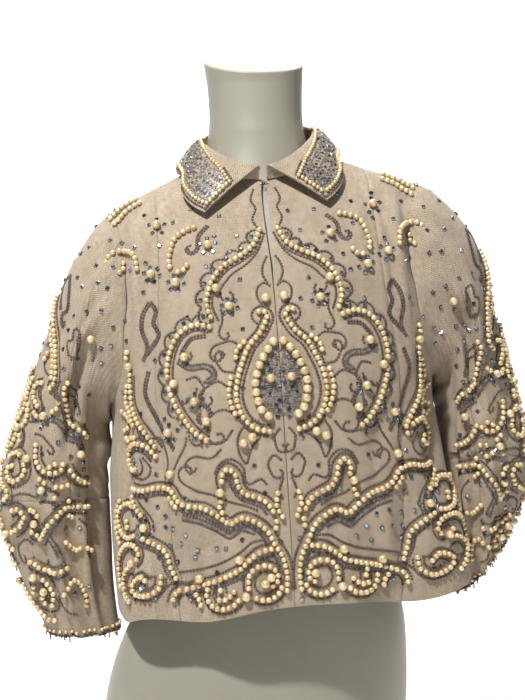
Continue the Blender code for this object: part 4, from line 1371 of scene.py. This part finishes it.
# The design of the sleeves: across from the outer side towards the front, and down from the
# armhole, drawn for the wearer's right and mirrored for the left.
SLEEVE_STROKES = strokes(
    # Waves down the outer side, partly in two rows.
    ("pearl_scallop_right", ((8, -112), (20, -122), (40, -136), (58, -146), (70, -158), (74, -176),
     (66, -194))),
    ("pearl_plain", ((34, -142), (50, -152), (62, -162), (67, -176))),
    ("pearl", ((16, -196), (8, -210), (14, -226), (6, -242), (16, -258), (10, -274), (22, -288))),
    ("pearl_plain", ((28, -204), (24, -220), (30, -236), (24, -250), (31, -264), (28, -280))),
    ("pearl_left", ((90, -152), (88, -168), (94, -184), (104, -194), (116, -194), (128, -186),
     (140, -182))),
    ("pearl_plain", ((86, -190), (84, -204), (76, -214))),
    ("pearl_plain", ((98, -202), (110, -203), (122, -196))),
    # The crescent and the spiral above the elbow.
    ("pearl", ((70, -262), (74, -278), (84, -290), (96, -290), (105, -280), (106, -266))),
    ("pearl_plain", ((92, -282), (99, -272))),
    ("pearl", ((112, -268), (120, -282), (132, -290), (146, -288))),
    ("pearl", ((34, -290), (46, -282), (58, -290), (62, -303), (54, -314), (42, -312), (38, -303),
     (46, -298))),
    ("pearl_plain", ((84, -303), (94, -309), (106, -309), (115, -303))),
    # Below the elbow.
    ("pearl_left", ((46, -368), (58, -362), (66, -352), (58, -344), (48, -348))),
    ("pearl_plain", ((68, -346), (78, -345), (85, -353))),
    ("pearl_left", ((70, -368), (80, -374), (90, -366), (100, -354), (114, -343), (130, -343),
     (146, -345))),
    ("pearl_plain", ((117, -333), (113, -350), (122, -356))),
    ("pearl_left", ((8, -352), (18, -364), (14, -376), (26, -386), (36, -392))),
    ("pearl_plain", ((30, -352), (34, -364), (30, -374), (40, -382))),
    ("pearl_left", ((56, -388), (72, -392), (88, -393), (104, -391))),
    ("pearl", ((50, -404), (58, -397), (70, -398), (76, -405), (70, -412), (60, -411), (58, -406))),
    ("pearl_plain", ((108, -376), (118, -382), (130, -380), (142, -384))),
    ("pearl_plain", ((24, -402), (34, -407), (44, -414), (56, -419), (70, -420))),
    # Fuller rows at the outer side.
    ("pearl_plain", ((20, -130), (34, -140), (44, -156), (42, -172))),
    ("pearl", ((50, -196), (40, -206), (44, -218), (56, -222)), turned(SMALL_CURL)),
    ("pearl_plain", ((38, -230), (44, -244), (38, -258), (44, -272))),
    ("pearl", ((20, -308), (30, -318), (42, -324)), turned(SMALL_CURL)),
    ("pearl_plain", ((6, -322), (14, -334), (10, -346))),
    # Chain stitch alone.
    ("double", ((30, -78), (44, -84), (52, -96), (46, -108)), SMALL_CURL),
    ("double", ((30, -78), (22, -90), (28, -102), (40, -112))),
    ("double", ((88, -76), (96, -92), (92, -108), (84, -122))),
    ("stitch", ((88, -76), (78, -88), (80, -102), (74, -114), (84, -122))),
    ("stitch", ((98, -146), (108, -134), (120, -136), (124, -152), (118, -168))),
    ("stitch", ((104, -152), (112, -146), (114, -160))),
    ("stitch", ((36, -172), (46, -182), (58, -180)), SMALL_CURL),
    ("stitch", ((40, -200), (52, -208), (62, -222), (58, -236)), turned(OPEN_CURL)),
    ("double", ((36, -254), (46, -262), (48, -276))),
    ("silver", ((78, -220), (92, -214), (104, -218)), ((14, -3, -9),)),
    ("stitch", ((62, -252), (74, -248), (88, -252)), turned(SMALL_CURL)),
    ("silver", ((110, -222), (122, -216), (134, -220))),
    ("stitch", ((28, -330), (40, -326), (52, -330), (66, -326), (84, -330))),
    ("silver", ((84, -360), (96, -376), (100, -384))),
    ("stitch", ((66, -378), (58, -374), (48, -378)), SMALL_CURL),
    ("pearl_plain", ((96, -404), (108, -398), (120, -402)), turned(SMALL_CURL)),
    ("pearl", ((84, -330), (96, -326), (106, -332))),
    ("stitch", ((128, -356), (138, -366), (134, -378)), SMALL_CURL),
    ("stitch", ((78, -408), (90, -414), (104, -416))),
)
# Down the outer side, towards the back, scrolls follow one another to either hand: how far down
# each starts.
OUTER_SCROLLS = (70, 138, 206, 274, 342)
# Large pearls of the sleeves: across, down and how many stones stand round each.
SLEEVE_LARGE = (
    (71, -224, 6), (32, -258, 0), (61, -284, 0), (5, -301, 0), (88, -318, 5), (74, -361, 0), (37, -370, 0),
    (-5, -370, 0), (55, -396, 0), (16, -400, 0), (100, -60, 0), (124, -236, 0), (64, -404, 0),
)

# Places of the hem's design on the back: a plain running row of scrolls.
BACK_SCROLLS = (-120, -72, -24, 24, 72, 120)


class Chart:
    """A cloth surface laid out on a flat sheet, for the beading: read at any place by its neighbours."""

    def __init__(self, surface, u_range, v_range, step=2.0):
        self.low = np.array((u_range[0], v_range[0]), float)
        self.count = np.array([int((high - low) / step) + 1 for low, high in (u_range, v_range)])
        self.step = step
        us, vs = (low + step * np.arange(count) for low, count in zip(self.low, self.count))
        self.points, self.normals = surface(*np.meshgrid(us, vs, indexing="ij"))

    def __call__(self, u, v):
        place = np.stack(np.broadcast_arrays(np.asarray(u, float), np.asarray(v, float)), axis=-1)
        place = np.clip((place - self.low) / self.step, 0, self.count - 1.001)
        cell = place.astype(int)
        return blend(self.points, cell, place - cell), unit(blend(self.normals, cell, place - cell))


def blend(values, cell, share):
    """Values of a grid at shares of the way across its cells."""
    i, j = np.moveaxis(cell, -1, 0)
    a, b = np.moveaxis(share[..., None, :], -1, 0)
    near = values[i, j] * (1 - b) + values[i, j + 1] * b
    far = values[i + 1, j] * (1 - b) + values[i + 1, j + 1] * b
    return near * (1 - a) + far * a


def front_chart(sign):
    """The cloth of one front in coordinates of side and height."""

    def surface(across, height):
        level = find_level(height, lambda at: torso_point(azimuth_at(across, at), at)[..., 2])
        return torso(sign * azimuth_at(across, level), level)

    return Chart(surface, (0.2, 171), (214, 662))


def back_chart():
    """The cloth of the back in coordinates of side and height."""

    def surface(across, height):
        level = find_level(height, lambda at: torso_point(180 - azimuth_at(across, at), at)[..., 2])
        return torso(180 - azimuth_at(across, level), level)

    return Chart(surface, (-162, 162), (238, 690), step=4.0)


def sleeve_chart(sign):
    """The cloth of one sleeve in coordinates across, from its outer side, and down, as a negative."""

    def surface(across, down):
        return sleeve(sign, across / SLEEVE_MM_PER_DEGREE, np.clip(-down / SLEEVE_LENGTH, 0.0, 1.0))

    return Chart(surface, (-190, 285), (-SLEEVE_LENGTH, 0))


def outer_scrolls():
    """A pearl scroll, a stitched one that leaves it and a short row behind, down the outer side."""
    made = []
    middle = -30
    for number, down in enumerate(OUTER_SCROLLS):
        sign, hand, other = (-1, turned, tuple) if number % 2 else (1, tuple, turned)
        for kind, places, bends in (
            ("pearl", ((18, 0), (4, 10), (-8, 22)), hand(OPEN_CURL)),
            ("double", ((16, 14), (22, 30), (18, 42)), other(SMALL_CURL)),
        ):
            line = tuple((middle + across * sign, -down - below) for across, below in places)
            made.append(Stroke(kind, line, bends))
        line = ((-70, -down - 20), (-76, -down - 34), (-68, -down - 46))
        made.append(Stroke("pearl_plain", line, hand(SMALL_CURL)))
    return tuple(made)


def draw(beading, design, large):
    """Sews on the large pearls, the strokes' pearls and their trims, and gives the strokes' points."""
    for place in large:
        beading.large(*place)
    laid = []
    for stroke in design:
        line2d = curl(spline(stroke.anchors), stroke.bends)
        laid.append((beading.stroke(line2d, stroke.kind), stroke.kind))
    for line, kind in laid:
        beading.trim(line, kind)
    return np.concatenate([line[0] for line, _ in laid])


def scatter(beading, low, high, spacing, lines, rng):
    """Single stones in the open ground between the lines."""
    u, v = np.meshgrid(np.arange(low[0], high[0], spacing), np.arange(low[1], high[1], spacing))
    u = u + (np.arange(len(v)) % 2)[:, None] * spacing / 2
    u, v = (side.ravel() + rng.uniform(-0.3, 0.3, side.size) * spacing for side in (u, v))
    places, _ = beading.frames_at(u, v)
    apart = np.array([np.min(np.linalg.norm(lines - place, axis=1)) for place in places])
    keep = (apart > 6.0) & (u < high[0]) & (u > low[0])
    beading.stone_row(u[keep], v[keep], rng.uniform(0, 90, int(keep.sum())), room=3.0)


def grid_normals(grid, row):
    """Unit normals of a grid, turned so that they point up at the end of this row."""
    normals = unit(np.cross(np.gradient(grid, axis=0), np.gradient(grid, axis=1)))
    return -normals if normals[row, -1, 2] < 0 else normals


def torso_pieces(cloth):
    """The fronts and the back, each with its flat size and area."""
    pieces = {}
    neck = torso_rows()[-1]
    for sign, side in SIDES:
        levels, edge = panel_edges(sign, behind=False)
        seam = princess_azimuths(levels, sign)
        all_levels = np.concatenate((levels, neck))
        start = sign * azimuth_at(FRONT_EDGE.at(all_levels).side, all_levels)
        end = np.concatenate((seam, np.full(neck.shape, sign * 90.0)))
        name = f"front_centre_{side}"
        pieces[name] = panel(f"cloth_{name}", all_levels, start, end, 34, cloth, (0.3, 0.5, 0.3, 1))
        name = f"front_side_{side}"
        pieces[name] = panel(f"cloth_{name}", levels, seam, edge, 20, cloth, (0.3, 0.5, 1, 1))
    levels, left_edge = panel_edges(1, behind=True)
    _, right_edge = panel_edges(-1, behind=True)
    start = np.concatenate((left_edge, np.full(neck.shape, 90.0)))
    end = np.concatenate((360 + right_edge, np.full(neck.shape, 270.0)))
    all_levels = np.concatenate((levels, neck))
    pieces["back"] = panel("cloth_back", all_levels, start, end, 80, cloth, (0.3, 0.5, 1, 1))
    return pieces


def sleeve_pieces(cloth):
    """The four pieces of each sleeve, each with its flat size and area."""
    pieces = {}
    for sign, side in SIDES:
        for part, shares, seams in (
            ("upper", spread(0, ELBOW_SEAM, 84), (1, 0.8, 0.8, 0.8)),
            ("lower", spread(ELBOW_SEAM, 1, 26), (0.8, 0.3, 0.8, 0.8)),
        ):
            seam = SLEEVE_SEAM.at(shares).turn
            for piece, begin, end, columns in (
                ("outer", np.full(shares.shape, BACK_SLEEVE_SEAM - 360), seam, 60),
                ("under", seam, np.full(shares.shape, BACK_SLEEVE_SEAM), 44),
            ):
                turns = begin[:, None] + (end - begin)[:, None] * spread(0, 1, columns)[None]
                grid, normals = sleeve(sign, turns, np.broadcast_to(shares[:, None], turns.shape))
                name = f"sleeve_{side}_{part}_{piece}"
                wide = UNDER_WIDE_ROW if name.endswith("upper_under") else None
                pieces[name] = shell(f"cloth_{name}", grid, normals, cloth, columns // 2, CLOTH, seams, wide)
    return pieces


def main():
    """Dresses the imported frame."""
    rng = np.random.default_rng(SEED)
    cloth = cloth_material()
    pearl = bead_material("pearl", (0.52, 0.36, 0.17), (0.78, 0.61, 0.36), 140.0, 0.3, 0.25, coat=1.0)
    stone = bead_material("clear_stone", (0.05, 0.07, 0.10), (0.40, 0.47, 0.54), 260.0, 0.14, 0.9)
    thread = ("chain_stitch", (0.050, 0.034, 0.028), (0.120, 0.082, 0.064), 220.0, 0.55)
    stitch = bead_material(*thread, bump_depth=0.0002)
    silver = bead_material("silver_bead", (0.09, 0.08, 0.08), (0.40, 0.38, 0.36), 300.0, 0.4, 0.4)
    metal = bead_material("bronzed_wire", (0.16, 0.12, 0.09), (0.34, 0.27, 0.20), 500.0, 0.35, 0.9)
    finishes = (pearl, stone, stitch, silver)

    pieces = torso_pieces(cloth) | sleeve_pieces(cloth)
    seams = np.concatenate((np.linspace(3, 30, 14), np.linspace(34, 180, 40)))
    right = collar_grid(-1, seams, 34)
    left = collar_grid(1, seams[::-1][1:], 34)
    grid = np.concatenate((right, left))
    normals = grid_normals(grid, len(grid) // 2)
    pieces["collar"] = shell("cloth_collar", grid, normals, cloth, 0, COLLAR_CLOTH, (0.2, 0.2, 0, 0.2))

    form = build_form(form_material())
    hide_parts("dress_form")
    for node, (obj, _, _) in pieces.items():
        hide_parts(node)
    for node in ("neck_hook", "neck_eye"):
        for holder in frame["nodes"][node].material_slots:
            holder.material = metal

    trims = {node: [] for node in pieces}
    for sign, side in SIDES:
        beading = Beading(front_chart(sign), sign)
        lines = draw(beading, FRONT_STROKES, FRONT_LARGE)
        beading.fill(FRONT_STROKES[0].anchors + ((1, 416), (1, 488)), rng)
        scatter(beading, (6, 240), (160, 400), 14.0, lines, rng)
        scatter(beading, (6, 400), (160, 650), 25.0, lines, rng)
        trims[f"front_centre_{side}"] = finish_beading(beading, f"front_{side}", finishes)
        beading = Beading(sleeve_chart(sign), -sign)
        lines = draw(beading, SLEEVE_STROKES + outer_scrolls(), SLEEVE_LARGE)
        scatter(beading, (-70, -405), (140, -20), 20.0, lines, rng)
        cuff_edge(beading, rng)
        trims[f"sleeve_{side}_upper_outer"] = finish_beading(beading, f"sleeve_{side}", finishes)
    beading = Beading(back_chart(), -1)
    design = []
    for at in BACK_SCROLLS:
        design.append(Stroke("pearl", ((at - 26, 250), (at - 12, 266), (at + 6, 270)), turned(WIDE_CURL)))
    design.append(Stroke("stitch", ((-160, 244), (-80, 240), (0, 244), (80, 240), (160, 244))))
    lines = draw(beading, design, ())
    scatter(beading, (-150, 290), (150, 660), 34.0, lines, rng)
    trims["back"] = finish_beading(beading, "back", finishes)
    left = np.concatenate((left[::-1], right[-1:]))
    trims["collar"] = finish_beading(collar_beading(right, left, rng), "collar", finishes)


def finish_beading(beading, name, finishes):
    """Builds what is sewn on as one piece of each kind."""
    kinds = (
        (beading.pearls, "pearls", None),
        (beading.stones, "stones", 20),
        (beading.stitches, "chain_stitch", None),
        (beading.silver, "silver_beads", 40),
    )
    return [
        beads.build(f"{title}_{name}", finish, sharp)
        for (beads, title, sharp), finish in zip(kinds, finishes)
        if beads.count
    ]


def cuff_edge(beading, rng):
    """A row of dark beads along the cuff's edge, with small pearls above it and short loose strands."""
    across = np.linspace(-105, 255, 361) * SLEEVE_MM_PER_DEGREE
    for (down, size, pitch), template, beads in (
        (CUFF_BEADS, SEED_ROUND, beading.stitches),
        (CUFF_PEARLS, ROUND, beading.pearls),
    ):
        edge = np.stack((across, np.full(across.shape, down - SLEEVE_LENGTH)), axis=-1)
        line = line_on(beading.surface, edge)
        places, frames = along(line, np.arange(0, line[2][-1], pitch))
        beads.add(template, places + frames[:, 2] * size * 0.7, frames, size)
        if beads is beading.stitches:
            hang_strands(beading, places, frames, rng)


def hang_strands(beading, places, frames, rng):
    """Strands of a few seed beads from some of the beads of the cuff's edge."""
    for place, frame in zip(places, frames):
        if rng.random() > 0.45:
            continue
        down = np.array((rng.normal(0, 0.25), rng.normal(0, 0.25), -1.0)) + 0.35 * frame[2]
        for bead in range(int(rng.integers(1, 4))):
            place = place + unit(down) * STRAND_PITCH
            down = down * (0.8, 0.8, 1.0)
            beads = beading.pearls if bead == 0 and rng.random() < 0.3 else beading.stitches
            beads.add(SEED_ROUND, [place], frame[None], STRAND_BEAD)


def collar_beading(right, left, rng):
    """Seed beads in a lace over the collar's fall, pearls round it and stitching at its edge."""
    made = Beading(None)
    for grid in (right, left):
        half_collar(made, grid, grid_normals(grid, -1), rng)
    return made


def half_collar(made, grid, normals, rng):
    """One half, in shares along the neck, from its front end, and from the roll's end to its edge."""
    last = np.array(grid.shape[:2]) - 1

    def read(s, t):
        place = np.stack((s, ROLL_END + (1 - ROLL_END) * t), axis=-1) * last
        cell = np.minimum(place.astype(int), last - 1)
        return blend(grid, cell, place - cell), unit(blend(normals, cell, place - cell))

    def line(s, t):
        points, upward = read(s, t)
        return points, upward, measured(points)

    def joined(*corners):
        return line(*resample(np.array(corners, float), 240).T)

    for corners in (
        ((0.045, 0.24), (0.036, 0.84)),
        ((0.036, 0.84), (0.12, PEARLS_AT), (0.25, PEARLS_AT), (0.5, PEARLS_AT), (1.0, PEARLS_AT)),
        ((0.045, 0.24), (0.12, 0.15), (0.22, 0.06), (0.4, 0.0), (1.0, 0.0)),
    ):
        made.pearl_row(joined(*corners), COLLAR_PEARL, COLLAR_PITCH)
    for corners in (
        ((0.03, 0.20), (0.012, 0.94)),
        ((0.012, 0.94), (0.25, STITCH_AT), (1.0, STITCH_AT)),
        ((0.03, 0.20), (0.12, 0.08), (0.2, 0.0)),
    ):
        made.stitch_row(joined(*corners))
    length = line(np.linspace(0.1, 0.98, 120), np.full(120, 0.5))[2][-1]
    width = line(np.full(60, 0.4), np.linspace(0, 1, 60))[2][-1]
    across, along_neck = int(width * 0.78 / LACE_PITCH), int(length / LACE_PITCH)
    s, t = np.meshgrid(np.linspace(0.05, 1.0, along_neck), np.linspace(0.03, LACE_END, across))
    s = (s + rng.uniform(-0.3, 0.3, s.shape) * 0.9 / along_neck).ravel()
    t = (t + rng.uniform(-0.3, 0.3, t.shape) * 0.77 / across).ravel()
    inside = (t > 0.26 - 1.1 * (s - 0.05)) & (s < 1)
    # Eye-shaped gaps in the lace, each with a stone, in staggered rows.
    cell_s, cell_t = LACE_CELL_LONG / length * 0.88, LACE_CELL_DEEP / width
    off_s = ((s / cell_s + np.floor(t / cell_t) * 0.5) % 1 - 0.5) * LACE_CELL_LONG
    off_t = ((t / cell_t) % 1 - 0.5) * LACE_CELL_DEEP
    inside &= np.hypot(off_s * 0.8, off_t) > LACE_GAP
    points, upward = read(s[inside], t[inside])
    turns = rng.uniform(0, math.pi, len(points))
    ways = np.stack((np.cos(turns), np.sin(turns), np.full(turns.shape, 0.4)), axis=-1)
    frames = frame_of(unit(np.cross(upward, ways)), upward)
    keep = made.gaps(points) > 0.4
    made.silver.add(TUBE, points[keep] + frames[keep][:, 2] * 0.6, frames[keep], (1.15, 0.5, 0.5))
    for row in range(int(LACE_END / cell_t) + 1):
        for k in range(int(1 / cell_s) + 1):
            at_s, at_t = (k + 0.5 - row * 0.5 % 1) * cell_s, (row + 0.5) * cell_t
            if 0.055 < at_s < 0.99 and 0.30 - 1.1 * (at_s - 0.05) <= at_t <= 0.78:
                (point,), (normal,) = read(np.array((at_s,)), np.array((at_t,)))
                heading = unit(np.cross(normal, (0.3, 1.0, 0.2)))
                made.stone(point, frame_of(heading, normal), 1.6, size=COLLAR_STONE)


def build_form(finish):
    """One smooth closed body from the flat base to the neck, whose top slopes down in front."""
    count = 96
    turns = np.arange(count) * 360 / count
    sine, cosine = np.sin(np.radians(turns)), np.cos(np.radians(turns))

    def ring(row, height):
        depth = np.where(cosine >= 0, row.front, row.back)
        y = -depth * power(cosine, 0.95)
        x = row.middle + row.half_width * power(sine, 0.95)
        return np.stack((x, y, height(y) if callable(height) else np.full(count, float(height))), axis=-1)

    rings = [ring(FORM_TRUNK.at(height), height) for height in np.linspace(0, 420, 40)]
    for level in np.concatenate((np.linspace(1.02, 1.7, 26), np.linspace(1.72, 2.0, 14))):
        inset = FORM_INSET.at(level)
        middle = np.where(cosine >= 0, inset.front, inset.back)
        deep = inset.side * sine**2 + middle * (1 - sine**2)
        rings.append(torso_plain(turns, level) - deep[:, None] * torso_normal(turns, level))
    top = FORM_NECK.at(NECK_TOP_Z)

    def top_height(y):
        return NECK_TOP_Z + NECK_TOP_DROP * np.minimum(y, 0) / float(top.front)

    for height in np.linspace(706, 764, 10):
        rings.append(ring(FORM_NECK.at(height), height))
    last = ring(top, top_height)
    middle = last.mean(axis=0)
    for lower, drawn in ((2.4, 0.0), (0.9, 0.0), (0.25, 0.7), (0.0, 2.2)):
        step = last.copy()
        away = unit(last[:, :2] - middle[:2])
        step[:, :2] -= away * drawn
        step[:, 2] = top_height(step[:, 1]) - lower
        rings.append(step)
    for share in (0.8, 0.5, 0.2):
        step = middle + (last - middle) * share
        step[:, 2] = top_height(step[:, 1])
        rings.append(step)
    verts = np.concatenate(rings)
    faces = []
    for low in range(len(rings) - 1):
        for k in range(count):
            there = (k + 1) % count
            base = low * count
            faces.append((base + k, base + there, base + count + there, base + count + k))
    faces.append(tuple(range(count - 1, -1, -1)))
    start = (len(rings) - 1) * count
    faces.append(tuple(range(start, start + count)))
    return make_object("form_shell", verts, faces, finish, sharp=45)


def aimed(name, data, place, aim):
    """Puts a light or camera at a place, facing another."""
    obj = bpy.data.objects.new(name, data)
    obj.location = place
    obj.rotation_euler = (Vector(aim) - Vector(place)).to_track_quat("-Z", "Y").to_euler()
    bpy.context.scene.collection.objects.link(obj)
    return obj


def stage():
    """A pale floor, soft studio light and the camera at the photo's angle."""
    floor_mesh = bpy.data.meshes.new("floor")
    profile = [(-FLOOR_HALF, 0.0), (FLOOR_WALL - FLOOR_BEND, 0.0)]
    for turn in range(6, 91, 6):
        out, up = math.sin(math.radians(turn)), 1 - math.cos(math.radians(turn))
        profile.append((FLOOR_WALL - FLOOR_BEND + FLOOR_BEND * out, FLOOR_BEND * up))
    profile.append((FLOOR_WALL, WALL_TOP))
    corners = [(x, y, z) for y, z in profile for x in (-FLOOR_HALF, FLOOR_HALF)]
    faces = [(2 * k, 2 * k + 1, 2 * k + 3, 2 * k + 2) for k in range(len(profile) - 1)]
    floor_mesh.from_pydata(corners, [], faces)
    floor_mesh.shade_smooth()
    floor = bpy.data.objects.new("floor", floor_mesh)
    bpy.context.scene.collection.objects.link(floor)
    paint = Finish("pale_floor")
    paint.shade({"Base Color": (0.86, 0.86, 0.86, 1), "Roughness": 0.9})
    floor_mesh.materials.append(paint.made)

    world = bpy.data.worlds.new("studio")
    world.use_nodes = True
    bpy.context.scene.world = world
    backdrop = world.node_tree.nodes["Background"]
    backdrop.inputs["Color"].default_value = (1.0, 1.0, 1.0, 1)
    backdrop.inputs["Strength"].default_value = WORLD_LIGHT

    for name, place, aim, size, energy in LIGHTS:
        light = bpy.data.lights.new(name, "AREA")
        light.size = size
        light.energy = energy
        aimed(name, light, place, aim)

    camera = bpy.data.cameras.new("camera")
    camera.sensor_fit = "VERTICAL"
    camera.sensor_height = 36
    camera.lens = 18 / (HALF_VIEW / CAMERA_DISTANCE)
    aside = math.tan(math.radians(CAMERA_TURN)) * CAMERA_DISTANCE
    place = Vector(CAMERA_TARGET) + Vector((-aside, -CAMERA_DISTANCE, 0))
    bpy.context.scene.camera = aimed("camera", camera, place, CAMERA_TARGET)
    bpy.context.scene.view_settings.view_transform = "Standard"


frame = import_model()
main()
stage()
